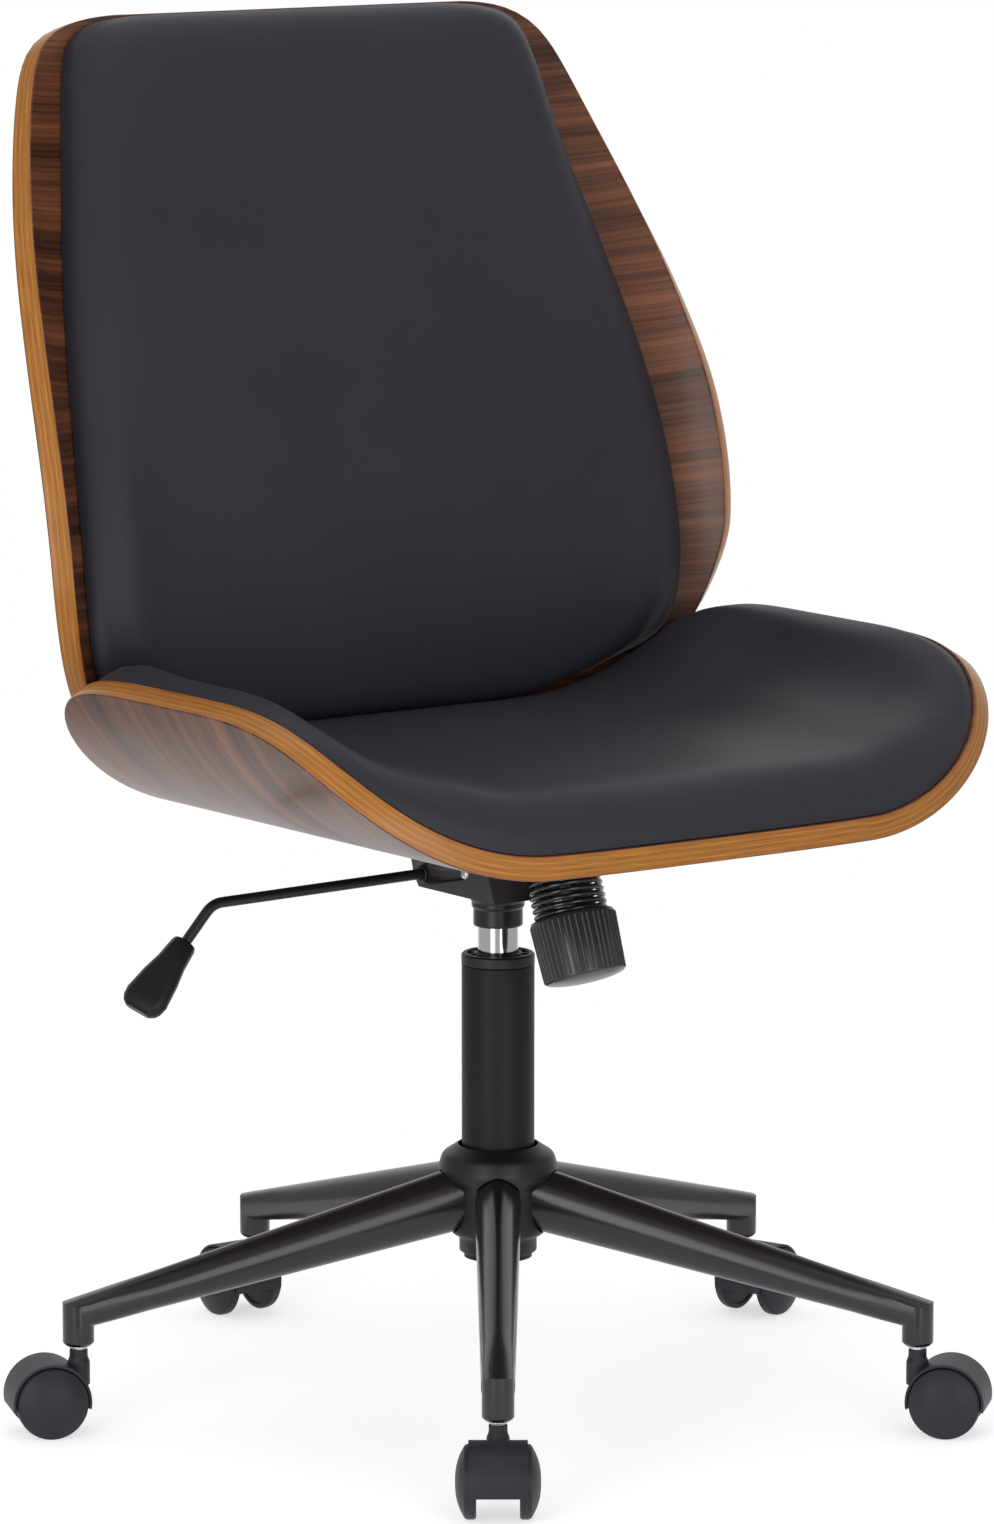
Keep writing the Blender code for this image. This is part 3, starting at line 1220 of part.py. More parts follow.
def build_bracket(frame, finishes):
    """Bent flat bar, held under the plate by its rear bolts and screwed to the back shell from behind."""
    top = plate_bottom_z() - GAP
    bottom = top - BRACKET_THICKNESS
    inner = BACK_F - BACK_THICKNESS - GAP
    outer = inner - BRACKET_THICKNESS
    centre = (outer + BRACKET_BEND, bottom + BRACKET_BEND)
    outline = [(BRACKET_FRONT, bottom), (BRACKET_FRONT, top)]
    outline += arc(centre, BRACKET_BEND - BRACKET_THICKNESS, 1.5 * math.pi, math.pi, 4)
    outline += [(inner, BRACKET_TOP_Z), (outer, BRACKET_TOP_Z)]
    outline += arc(centre, BRACKET_BEND, math.pi, 1.5 * math.pi, 6)
    bracket = solid("back_bracket", extruded(outline, BRACKET_HALF_WIDTH), finishes["mechanism"], frame)
    for x in (-BOLT_X, BOLT_X):
        hole = rod(BOLT_R + GAP, bottom - 0.01, top + 0.01, 12, (x, -BOLT_REAR, 0.0))
        combine(bracket, cutter("bracket_bolt_hole", hole, frame), "DIFFERENCE")
    rearwards = Matrix.Rotation(math.radians(90), 4, "X")
    for number, x in enumerate((-SCREW_X, SCREW_X), 1):
        hole = rod(BOLT_R + GAP, outer - 0.01, inner + 0.01, 12, (x, 0.0, SCREW_Z), rearwards)
        combine(bracket, cutter("bracket_hole", hole, frame), "DIFFERENCE")
        screw = [
            (0.0, inner + GAP + SCREW_GRIP),
            (BOLT_R, inner + GAP + SCREW_GRIP),
            (BOLT_R, outer - GAP),
            (BOLT_HEAD_R, outer - GAP),
            (BOLT_HEAD_R - EASE, outer - GAP - 0.6 * BOLT_HEAD_HEIGHT),
            (0.0, outer - GAP - 0.6 * BOLT_HEAD_HEIGHT),
        ]
        body = turned(screw, 12, (x, 0.0, SCREW_Z), rearwards)
        solid(f"bracket_screw_{number}", body, finishes["steel"], frame)


def stand_on_middle(chair):
    """Moves the chair so that its origin is the middle of its footprint box."""
    bpy.context.view_layer.update()
    graph = bpy.context.evaluated_depsgraph_get()
    low, high = math.inf, -math.inf
    for obj in bpy.context.collection.objects:
        if obj.type != "MESH" or obj.hide_render:
            continue
        for vertex in obj.evaluated_get(graph).data.vertices:
            y = (obj.matrix_world @ vertex.co).y
            low, high = min(low, y), max(high, y)
    chair.location.y = -0.5 * (low + high)
    print(f"column axis at y = {1000.0 * chair.location.y:.3f} mm")


def main():
    clear_scene()
    finishes = {
        "foot": finish_of("satin_black_hub", (0.018, 0.018, 0.020), 0.45),
        "leg": finish_of("gloss_black_steel", (0.012, 0.012, 0.013), 0.22),
        "column": finish_of("satin_black_steel", (0.015, 0.015, 0.016), 0.40),
        "mechanism": finish_of("black_pressed_steel", (0.013, 0.013, 0.014), 0.38),
        "plastic": finish_of("black_moulding", (0.018, 0.018, 0.020), 0.55),
        "castor": finish_of("charcoal_moulding", (0.030, 0.032, 0.036), 0.50),
        "chrome": finish_of("chromed_steel", (0.80, 0.80, 0.80), 0.12, 1.0),
        "steel": finish_of("plain_steel", (0.45, 0.45, 0.46), 0.35, 1.0),
        "zinc": finish_of("zinc_plate", (0.62, 0.62, 0.60), 0.38, 1.0),
        "ply": finish_of("walnut_veneer", (0.13, 0.060, 0.035), 0.35),
        "upholstery": finish_of("black_faux_leather", (0.033, 0.032, 0.038), 0.45),
    }
    chair = joint_frame("chair", (0.0, 0.0, 0.0))
    swivel = joint_frame("column_swivel", (0.0, 0.0, TUBE_BOTTOM_Z), chair)
    lift = joint_frame("column_lift", (0.0, 0.0, CYLINDER_BOTTOM_Z), swivel)
    press = joint_frame("button_press", (0.0, 0.0, CYLINDER_TOP_Z), lift)
    tilt = joint_frame("seat_tilt", (0.0, -PIN_F, PIN_Z), lift)
    knob_at = beside_axis(0.0, recess_floor())
    travel = joint_frame("knob_travel", (0.0, -knob_at[0], knob_at[1]), tilt)
    knob_turn = joint_frame("knob_turn", (0.0, -knob_at[0], knob_at[1]), travel)
    wall_x = HOUSING_HALF_WIDTH - 0.5 * HOUSING_WALL
    swing = joint_frame("lever_swing", (-wall_x, -LEVER_F, LEVER_Z), lift)
    pull = joint_frame("lever_pull", (-wall_x, -LEVER_F, LEVER_Z), swing)

    floor_z, bearing_top = build_foot(chair, finishes)
    build_castors(chair, finishes)
    build_column(swivel, lift, finishes, floor_z, bearing_top)
    build_button(press, finishes)
    build_housing(lift, finishes)
    build_spring(lift, finishes)
    build_tension_bolt(tilt, finishes)
    build_knob(travel, knob_turn, finishes)
    build_lever(swing, pull, finishes)
    build_plate(tilt, finishes)
    build_seat(tilt, finishes)
    build_back(tilt, finishes)
    build_bracket(tilt, finishes)
    stand_on_middle(chair)


main()
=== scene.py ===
"""Dressed office chair: walnut ply seat and back with black pads on a tilting gas-lift star foot."""

import math

import bmesh
import bpy
from mathutils import Matrix, Vector


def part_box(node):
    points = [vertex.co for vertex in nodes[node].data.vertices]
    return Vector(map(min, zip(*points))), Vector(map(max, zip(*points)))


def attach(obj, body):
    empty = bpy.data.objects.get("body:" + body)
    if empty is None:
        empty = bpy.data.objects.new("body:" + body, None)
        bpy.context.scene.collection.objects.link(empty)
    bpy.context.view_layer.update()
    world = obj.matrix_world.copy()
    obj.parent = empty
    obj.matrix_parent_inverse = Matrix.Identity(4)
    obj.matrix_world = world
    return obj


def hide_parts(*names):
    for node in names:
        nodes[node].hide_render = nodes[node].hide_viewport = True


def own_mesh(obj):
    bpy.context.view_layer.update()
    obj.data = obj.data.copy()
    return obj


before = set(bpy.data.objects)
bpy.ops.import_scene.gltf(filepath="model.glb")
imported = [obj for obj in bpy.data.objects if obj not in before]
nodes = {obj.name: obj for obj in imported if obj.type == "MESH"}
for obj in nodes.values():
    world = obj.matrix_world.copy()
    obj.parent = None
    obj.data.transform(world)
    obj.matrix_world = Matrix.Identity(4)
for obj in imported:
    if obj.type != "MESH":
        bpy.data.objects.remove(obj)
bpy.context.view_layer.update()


# Camera: a long lens above the seat's height, in front and to the sitter's right.
# It is turned to the column and down by about nine degrees.
def placed(name, data):
    """A new object in the scene."""
    obj = bpy.data.objects.new(name, data)
    bpy.context.scene.collection.objects.link(obj)
    return obj


column_low, column_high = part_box("column_tube")
column_y = 0.5 * (column_low[1] + column_high[1])
camera_turn, camera_down = math.radians(36.0), math.radians(9.12)
camera_reach, camera_height = 4.937, 1.2378
lens = bpy.data.cameras.new("photo_camera")
lens.lens = 173.2
lens.sensor_width = 36.0
lens.shift_x = -0.0007
camera = placed("photo_camera", lens)
camera.location = (
    -camera_reach * math.sin(camera_turn),
    column_y - camera_reach * math.cos(camera_turn),
    camera_height,
)
camera.rotation_euler = (math.radians(90.0) - camera_down, 0.0, -camera_turn)
bpy.context.scene.camera = camera


# Hub of the star foot: a satin black casting with a domed shoulder and an open rim round the column.
# Each arm is let into a pocket in its side and welded from below, where the photo can't see.
def filled(tree, made, **inputs):
    """Sets a node's inputs to values, or links them to sockets or to a node's first output. An input is given
    by its name, or by its place as in _1."""
    for label, value in inputs.items():
        socket = made.inputs[int(label[1:]) if label[0] == "_" else label.replace("_", " ")]
        if isinstance(value, bpy.types.Node):
            value = value.outputs[0]
        if isinstance(value, bpy.types.NodeSocket):
            tree.links.new(value, socket)
        else:
            socket.default_value = value
    return made


def node(tree, kind, settings=None, **inputs):
    """A new node of a tree with its settings and inputs."""
    made = tree.nodes.new(kind if "Node" in kind else f"ShaderNode{kind}")
    for key, value in (settings or {}).items():
        setattr(made, key, value)
    return filled(tree, made, **inputs)


def tinted(tree, drive, low, high, *between):
    """A colour ramp over a driving value, whose stops are places with colours."""
    made = node(tree, "ValToRGB", Fac=drive)
    stops = made.color_ramp.elements
    for stop, (place, colour) in zip(stops, (low, high)):
        stop.position = place
        stop.color = (*colour, 1.0)
    for place, colour in between:
        stops.new(place).color = (*colour, 1.0)
    return made


def toned(colour, change):
    return [part * (1.0 + change) for part in colour]


def surface(name, **values):
    """A new material, its tree and its shader with the inputs that are the same all over."""
    made = bpy.data.materials.new(name)
    made.use_nodes = True
    tree = made.node_tree
    return made, tree, filled(tree, tree.nodes["Principled BSDF"], **values)


def finish(name, colour, roughness, metallic=0.0, spread=0.06, size=180.0, bump=0.02, specular=0.5, coat=0.0,
           shade=0.15):
    """A surface whose roughness, colour and relief vary finely, on Object coordinates."""
    made, tree, shader = surface(name, Metallic=metallic, Specular_IOR_Level=specular, Coat_Weight=coat,
                                 Coat_Roughness=0.06)
    place = node(tree, "TexCoord").outputs["Object"]
    fine = node(tree, "TexNoise", Vector=place, Scale=size, Detail=6.0)
    broad = node(tree, "TexNoise", Vector=place, Scale=0.07 * size, Detail=3.0)
    tint = tinted(tree, broad, (0.35, toned(colour, -shade)), (0.68, toned(colour, shade)))
    rough = node(tree, "MapRange", Value=broad, To_Min=roughness - spread, To_Max=roughness + spread)
    relief = node(tree, "Bump", Height=fine, Strength=0.6, Distance=0.001 * bump)
    filled(tree, shader, Base_Color=tint, Roughness=rough, Normal=relief)
    return made


def piece(name, mesh, material=None, body=None, slot=None, *stands_for, sharp=40.0):
    """A finished mesh as a named piece that rides on a body and stands for its nodes; a pattern for
    further work has no body yet."""
    if isinstance(mesh, bmesh.types.BMesh):
        bmesh.ops.remove_doubles(mesh, verts=mesh.verts, dist=1e-6)
        bmesh.ops.recalc_face_normals(mesh, faces=mesh.faces)
        made = bpy.data.meshes.new(name)
        mesh.to_mesh(made)
        mesh.free()
        mesh = made
    obj = placed(name, mesh)
    if material is not None:
        mesh.materials.clear()
        mesh.materials.append(material)
    mesh.shade_smooth()
    mesh.set_sharp_from_angle(angle=math.radians(sharp))
    if body is not None:
        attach(obj, body)
        if stands_for:
            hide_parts(*stands_for)
    return obj


def dress(material, *names):
    """Gives the CAD nodes that keep their shape a finished surface."""
    for name in names:
        nodes[name].data.materials.clear()
        nodes[name].data.materials.append(material)


def rounding(start, corner, end, steps):
    """Points of a curve that rounds a corner off between two points."""
    for k in range(steps + 1):
        t = k / steps
        yield start * (1 - t) ** 2 + corner * 2 * t * (1 - t) + end * t * t


edge_share = 0.45


def eased_corners(points, radius, closed=False, steps=5):
    """The points with every corner rounded to at most the radius and that share of its shorter edge."""
    made = []
    for i, point in enumerate(points):
        here = Vector(point)
        if not closed and i in (0, len(points) - 1):
            made.append(tuple(here))
            continue
        before = Vector(points[i - 1]) - here
        after = Vector(points[(i + 1) % len(points)]) - here
        reach = min(radius, edge_share * before.length, edge_share * after.length)
        ends = [here + way.normalized() * reach for way in (before, after)]
        made += [tuple(spot) for spot in rounding(ends[0], here, ends[1], steps)]
    return made


def circle(radius, steps):
    """Points evenly round a circle, as pairs."""
    angles = (2.0 * math.pi * k / steps for k in range(steps))
    return [(radius * math.cos(angle), radius * math.sin(angle)) for angle in angles]


def turned(profile, steps=96, matrix=Matrix.Identity(4)):
    """A body turned about Z from (radius, height) points, closed on the axis or into a ring."""
    bm = bmesh.new()
    rings = []
    for radius, height in profile:
        round_spots = [(0.0, 0.0)] if radius < 1e-7 else circle(radius, steps)
        rings.append([bm.verts.new((x, y, height)) for x, y in round_spots])
    pairs = list(zip(rings, rings[1:]))
    if len(rings[0]) > 1:
        pairs.append((rings[-1], rings[0]))
    for near, far in pairs:
        for i in range(steps):
            j = (i + 1) % steps
            corners = [near[i % len(near)], near[j % len(near)], far[j % len(far)], far[i % len(far)]]
            corners = [c for k, c in enumerate(corners) if c not in corners[:k]]
            if len(corners) > 2:
                bm.faces.new(corners)
    bmesh.ops.transform(bm, matrix=matrix, verts=bm.verts)
    return bm


def lofted(rings):
    """A skin over rings of equal count, closed at both ends by flat faces."""
    bm = bmesh.new()
    loops = [[bm.verts.new(point) for point in ring] for ring in rings]
    for near, far in zip(loops, loops[1:]):
        for i in range(len(near)):
            bm.faces.new((near[i - 1], near[i], far[i], far[i - 1]))
    bm.faces.new(loops[0])
    bm.faces.new(loops[-1])
    return bm


def worked(obj):
    """The mesh that an object's modifiers make of it."""
    graph = bpy.context.evaluated_depsgraph_get()
    return bpy.data.meshes.new_from_object(obj.evaluated_get(graph))


def cut(obj, mesh, operation="DIFFERENCE"):
    """Works a body into an object's mesh."""
    other = piece("cutter", mesh)
    step = obj.modifiers.new("cut", "BOOLEAN")
    step.operation = operation
    step.solver = "EXACT"
    step.object = other
    made = worked(obj)
    obj.modifiers.clear()
    obj.data = made
    bpy.data.objects.remove(other, do_unlink=True)


def levels(node_name):
    """The heights of a CAD node's foot and top."""
    return [corner[2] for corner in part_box(node_name)]


on_column = Matrix.Translation((0.0, column_y, 0.0))
hub_base, hub_top = levels("hub")
rim_r, dome_r, body_r, foot_r = 0.0285, 0.0413, 0.0329, 0.0267
satin_black = finish("satin_black_paint", (0.0080, 0.0072, 0.0092), 0.42, specular=0.38, bump=0.03)
hub_profile = [
    (0.0252, hub_top - 0.016), (0.0275, hub_top - 0.010), (0.0275, hub_top), (rim_r, hub_top),
    (rim_r + 0.003, hub_top - 0.0022), (0.5 * (rim_r + dome_r) + 0.0035, hub_top - 0.0065),
    (dome_r, hub_top - 0.016), (dome_r - 0.0006, hub_top - 0.021), (dome_r - 0.005, hub_top - 0.0255),
    (body_r + 0.0006, hub_top - 0.029), (body_r, hub_top - 0.034), (body_r, hub_base + 0.0145),
    (body_r - 0.0022, hub_base + 0.012), (foot_r + 0.0006, hub_base + 0.0112), (foot_r, hub_base + 0.009),
    (foot_r, hub_base), (0.0237, hub_base), (0.0252, hub_base + 0.012),
]
hub = piece("hub_pattern", turned(eased_corners(hub_profile, 0.0028, closed=True), 120, on_column))


# Arms: five gloss black steel tubes of oval section that taper outwards, each with an upright socket
# welded to its end for a castor's stem. The first points to the photo's right front.
gloss_black = finish("gloss_black_enamel", (0.0145, 0.0128, 0.0156), 0.25, spread=0.04, size=60.0, bump=0.012,
                     specular=0.48, coat=0.05)
stem_circle_r, stem_bore_r = 0.299, 0.0053
socket_r, socket_chamfer = 0.0107, 0.0022
socket_bottom = levels("leg_3")[0]
arm_lap = socket_r + 0.0004
arm_end_r = stem_circle_r + arm_lap
arm_root_z, arm_end_z = 0.1425, 0.0797
arm_root_width, arm_end_width = 0.033, 2.0 * arm_lap
arm_root_height, arm_end_height = 0.045, 0.0204
oval, squarer, squarer_from, squarer_over = 1.9, 0.9, 0.78, 0.12
arm_count, arm_steps = 5, 56


def arm_ring(radius, grow=0.0):
    """One oval section of an arm that points along -Y from the column; it grows squarer near the socket."""
    share = (radius - body_r) / (arm_end_r - body_r)
    along = min(radius / stem_circle_r, 1.0)
    width = arm_root_width + (arm_end_width - arm_root_width) * along + 2.0 * grow
    height = arm_root_height + (arm_end_height - arm_root_height) * share + 2.0 * grow
    level = arm_root_z + (arm_end_z - arm_root_z) * share
    power = 2.0 / (oval + squarer * min(max((share - squarer_from) / squarer_over, 0.0), 1.0))
    ring = []
    for x, z in circle(1.0, arm_steps):
        across, up = (math.copysign(abs(part) ** power, part) for part in (x, z))
        ring.append((0.5 * width * across, -radius, level + 0.5 * height * up))
    return ring


def arm_turn(index):
    """From straight ahead round to an arm, about the column."""
    return on_column @ Matrix.Rotation(2.0 * math.pi / arm_count * (index + 0.5), 4, "Z")


def bore(radius, top, bottom, place, steps=48):
    """A plain round body for a hole, from its radius and its two ends along the axis."""
    return turned([(0.0, top), (radius, top), (radius, bottom), (0.0, bottom)], steps, place)


pocket_depth, pocket_gap = 0.0035, 0.0011
for index in range(arm_count):
    pocket = lofted([arm_ring(radius, pocket_gap) for radius in (body_r - pocket_depth, 0.5 * arm_end_r)])
    bmesh.ops.transform(pocket, matrix=arm_turn(index), verts=pocket.verts)
    cut(hub, pocket)
piece("hub_casting", hub.data, satin_black, "base", "satin_black_metal", "hub", sharp=50.0)
bpy.data.objects.remove(hub, do_unlink=True)

arm_shares = (0.36, 0.68, 0.79, 0.84, 0.89, 0.92, 1.0)
stations = [body_r - 1.2 * pocket_depth] + [share * stem_circle_r for share in arm_shares]
arm = piece("arm_pattern", lofted([arm_ring(radius) for radius in stations]))
stem_place = Matrix.Translation((0.0, -stem_circle_r, 0.0))
socket_profile = [(0.0, arm_root_z), (socket_r, arm_root_z), (socket_r, socket_bottom + socket_chamfer),
                  (socket_r - socket_chamfer, socket_bottom), (0.0, socket_bottom)]
socket = piece("socket_pattern", turned(eased_corners(socket_profile, 0.0006), 96, stem_place))
vaults = []
for radius in (stem_circle_r - 0.012, stem_circle_r + 0.013):
    vault = arm_ring(radius, -0.00005)[:arm_steps // 2 + 1]
    vaults.append(vault + [(end[0], -radius, 0.05) for end in (vault[-1], vault[0])])
cut(socket, lofted(vaults), "INTERSECT")
cut(arm, socket.data, "UNION")
bpy.data.objects.remove(socket, do_unlink=True)
cut(arm, bore(stem_bore_r, socket_bottom + 0.024, socket_bottom - 0.01, stem_place))
for index in range(arm_count):
    mesh = arm.data.copy()
    mesh.transform(arm_turn(index))
    piece(f"arm_{index + 1}", mesh, gloss_black, "base", "gloss_black_metal", f"leg_{index + 1}", sharp=32.0)
bpy.data.objects.remove(arm, do_unlink=True)


# Castors: twin wheels under a moulded hood. The hood's neck takes a zinc-plated stem whose collar shows
# as a bright ring below the arm's socket; the wheels run on a steel axle through the hood's boss.
castor_black = finish("castor_nylon", (0.0195, 0.0197, 0.0265), 0.50, size=420.0, bump=0.05, specular=0.35)
zinc = finish("zinc_plate", (0.58, 0.58, 0.56), 0.30, metallic=1.0, size=500.0, bump=0.02)
steel = finish("bright_steel", (0.50, 0.50, 0.51), 0.28, metallic=1.0, size=300.0, bump=0.02)
wheel_r, axle_bore_r = 0.0245, 0.0033
trail = 0.0215
axle_r = stem_circle_r + trail
hood_r, hood_wall, hood_half, hood_drop = 0.0270, 0.0017, 0.0193, 0.005
wheel_inner_x, wheel_outer_x, dome_depth = 0.0142, 0.028, 0.0062
dome_steps, dome_share, dome_power = 14, 0.955, 2.4
sideways = Matrix.Rotation(math.radians(90.0), 4, "Y")
axle_place = Matrix.Translation((0.0, -axle_r, wheel_r)) @ sideways


def wheel_mesh(side):
    """A wheel with a smoothly domed face, a small step at its rim and a blind bore for the axle."""
    shares = [k / dome_steps for k in range(dome_steps + 1)]
    face = [(wheel_r * dome_share * share, wheel_outer_x - dome_depth * share**dome_power)
            for share in shares]
    rim_x = wheel_outer_x - dome_depth
    rest = [(wheel_r * 0.958, rim_x - 0.0004), (wheel_r * 0.975, rim_x - 0.0004), (wheel_r, rim_x - 0.0022),
            (wheel_r, wheel_inner_x + 0.0012), (wheel_r - 0.0012, wheel_inner_x), (0.021, wheel_inner_x),
            (0.0205, wheel_inner_x + 0.001), (0.009, wheel_inner_x + 0.001), (0.0085, wheel_inner_x),
            (axle_bore_r, wheel_inner_x), (axle_bore_r, 0.0243), (0.0, 0.0243)]
    bm = turned(face + rest, 72, axle_place)
    bmesh.ops.transform(bm, matrix=Matrix.Diagonal((side, 1.0, 1.0, 1.0)), verts=bm.verts)
    return bm


def side_view(outline, half_width):
    """A body whose outline is drawn in the arm's side view as (outwards, up) points."""
    return lofted([[(x, -out, z) for out, z in outline] for x in (-half_width, half_width)])


def arc_points(radius, start, end, steps):
    """Points of an arc about the axle, both its ends among them."""
    angles = (start + (end - start) * k / steps for k in range(steps + 1))
    return [(axle_r + radius * math.cos(angle), wheel_r + radius * math.sin(angle)) for angle in angles]


tip = math.asin(hood_drop / hood_r)
web_tip = tip - 0.06
guard = arc_points(hood_r, -tip, math.pi + tip, 48)
guard += arc_points(hood_r - hood_wall, math.pi + tip, -tip, 48)
hood = side_view(guard, hood_half)
rim_edges = [e for e in hood.edges if e.is_manifold and e.calc_face_angle() > 1.0]
bmesh.ops.bevel(hood, geom=rim_edges, offset=0.0005, segments=2, affect="EDGES", clamp_overlap=True)
hood = piece("hood_pattern", hood)
web = arc_points(hood_r - 0.0009, -web_tip, math.pi + web_tip, 40)
web += arc_points(0.0116, math.pi + web_tip, 2.0 * math.pi - web_tip, 24)
cut(hood, side_view(web, wheel_inner_x - 0.0004), "UNION")
neck_top, neck_r, boss_r = 0.0575, 0.0062, 0.0076
neck_profile = [(0.0, neck_top), (neck_r, neck_top), (neck_r, wheel_r + hood_r + 0.0006),
                (boss_r, wheel_r + 0.9 * hood_r), (boss_r, wheel_r + 0.3 * hood_r),
                (0.0, wheel_r + 0.3 * hood_r)]
cut(hood, turned(eased_corners(neck_profile, 0.0012), 48, stem_place), "UNION")
stem_seat = 0.038
cut(hood, bore(stem_bore_r, 0.1, stem_seat, stem_place))
cut(hood, bore(axle_bore_r, 0.03, -0.03, axle_place))
stem_top, stem_foot = socket_bottom + 0.0232, stem_seat + 0.0003
collar_top, collar_foot = socket_bottom - 0.0003, socket_bottom - 0.0015
stem_r, ring_r = 0.0050, 0.0066
stem_profile = [(0.0, stem_top), (stem_r, stem_top), (stem_r, collar_top), (ring_r, collar_top),
                (ring_r, collar_foot), (stem_r, collar_foot), (stem_r, stem_foot), (0.0, stem_foot)]
castor_swivels = (5.5, 0.0, 0.0, -3.9, 0.0)
for index, degrees in enumerate(castor_swivels):
    swivel = Matrix.Rotation(math.radians(degrees), 4, "Z")
    castor_turn = arm_turn(index) @ stem_place @ swivel @ stem_place.inverted()
    number = index + 1
    body = f"castor_{number}"
    mesh = hood.data.copy()
    mesh.transform(castor_turn)
    piece(f"hood_{number}", mesh, castor_black, body, "castor_plastic", f"castor_hood_{number}", sharp=35.0)
    stem = turned(eased_corners(stem_profile, 0.0003), 48, arm_turn(index) @ stem_place)
    piece(f"stem_{number}", stem, zinc, body, "zinc_steel", f"castor_stem_{number}")
    dress(steel, f"castor_axle_{number}")
    for letter, side in (("a", -1.0), ("b", 1.0)):
        wheel = wheel_mesh(side)
        bmesh.ops.transform(wheel, matrix=castor_turn, verts=wheel.verts)
        name = f"wheel_{number}{letter}"
        piece(f"roller_{number}{letter}", wheel, castor_black, name, "castor_plastic", name)
bpy.data.objects.remove(hood, do_unlink=True)


# Height column: a satin black tube pressed into the hub, with a moulded guide bush in its mouth whose
# rim sits on the tube's end. The bush's top has a ring of small webs round the chromed cylinder.
tube_low, tube_high = column_low[2], column_high[2]
tube_r, tube_wall, tube_foot_r = 0.025, 0.002, 0.0234
floor_edge_r, rod_hole_r = 0.0214, 0.0053
column_black = finish("column_enamel", (0.0040, 0.0030, 0.0050), 0.50, size=90.0, bump=0.012, specular=0.28)
moulded_black = finish("moulded_nylon", (0.010, 0.010, 0.011), 0.48, size=500.0, bump=0.04, specular=0.4)
tube_profile = [
    (tube_r - tube_wall, tube_high), (tube_r - 0.0005, tube_high), (tube_r, tube_high - 0.0006),
    (tube_r, tube_low + 0.016), (tube_foot_r, tube_low + 0.004), (tube_foot_r, tube_low),
    (floor_edge_r, tube_low), (floor_edge_r, tube_low + 0.0058), (rod_hole_r, tube_low + 0.0058),
    (rod_hole_r, tube_low + 0.0098), (floor_edge_r, tube_low + 0.0098),
    (tube_r - tube_wall, tube_low + 0.016),
]
piece("column_outer", turned(tube_profile, 96, on_column), column_black, "base", "satin_black_metal",
      "column_tube", sharp=28.0)
bush_low, bush_high = levels("guide_bush")
ledge = tube_high + 0.0003
bush_r, sleeve_r, guide_r = tube_r + 0.0002, tube_r - tube_wall - 0.0003, 0.0143
bush_profile = [
    (tube_r - 0.0010, bush_high), (bush_r, bush_high - 0.0012), (bush_r, ledge), (sleeve_r, ledge),
    (sleeve_r, bush_low), (guide_r, bush_low), (guide_r, bush_high - 0.0010), (0.0152, bush_high),
    (0.0166, bush_high), (0.0168, bush_high - 0.0035), (0.0212, bush_high - 0.0035), (0.0214, bush_high),
]
piece("guide_bush_ring", turned(eased_corners(bush_profile, 0.0003, closed=True), 96, on_column),
      moulded_black, "base", "black_plastic", "guide_bush")


def node_group(name, *inputs):
    """A Geometry Nodes tree with named inputs, a material's among them, and the sockets that give them."""
    tree = bpy.data.node_groups.new(name, "GeometryNodeTree")
    for label, kind, value in (("Geometry", "Geometry", None), *inputs, ("Material", "Material", None)):
        socket = tree.interface.new_socket(label, in_out="INPUT", socket_type=f"NodeSocket{kind}")
        if value is not None:
            socket.default_value = value
    tree.interface.new_socket("Geometry", in_out="OUTPUT", socket_type="NodeSocketGeometry")
    return tree, tree.nodes.new("NodeGroupInput").outputs


def grown(name, tree, given, shape, place, body, slot, *stands_for, **values):
    """Ends a geometry tree with the shape made real and its material, runs it once with values for its
    inputs by name, and keeps the result as a plain mesh piece."""
    real = node(tree, "GeometryNodeRealizeInstances", Geometry=shape)
    done = node(tree, "GeometryNodeSetMaterial", Geometry=real, Material=given["Material"])
    filled(tree, tree.nodes.new("NodeGroupOutput"), Geometry=done)
    holder = placed(name, bpy.data.meshes.new(name))
    step = holder.modifiers.new(name, "NODES")
    step.node_group = tree
    for item in tree.interface.items_tree:
        if item.in_out == "INPUT" and item.name.lower() in values:
            step[item.identifier] = values[item.name.lower()]
    made = worked(holder)
    bpy.data.objects.remove(holder, do_unlink=True)
    made.transform(place)
    return piece(name, made, values["material"], body, slot, *stands_for)


# The bush's webs: short bars moulded in one with its inner sleeve and its rim. They stand one after
# another in a ring round the cylinder.
tree, given = node_group("bush webs", ("Count", "Int", 12), ("Radius", "Float", 0.0190),
                         ("Bar", "Vector", (0.0046, 0.0016, 0.0030)))
ring = node(tree, "GeometryNodeMeshCircle", Vertices=given["Count"], Radius=given["Radius"])
bar = node(tree, "GeometryNodeMeshCube", Size=given["Bar"])
spot = node(tree, "GeometryNodeInputPosition")
facing = node(tree, "FunctionNodeAlignRotationToVector", {"axis": "X"}, Vector=spot)
webs = node(tree, "GeometryNodeInstanceOnPoints", Points=ring, Instance=bar, Rotation=facing)
webs_place = Matrix.Translation((0.0, column_y, bush_high - 0.0022))
grown("bush_webs", tree, given, webs, webs_place, "base", "black_plastic", material=moulded_black)
dress(steel, "thrust_bearing")


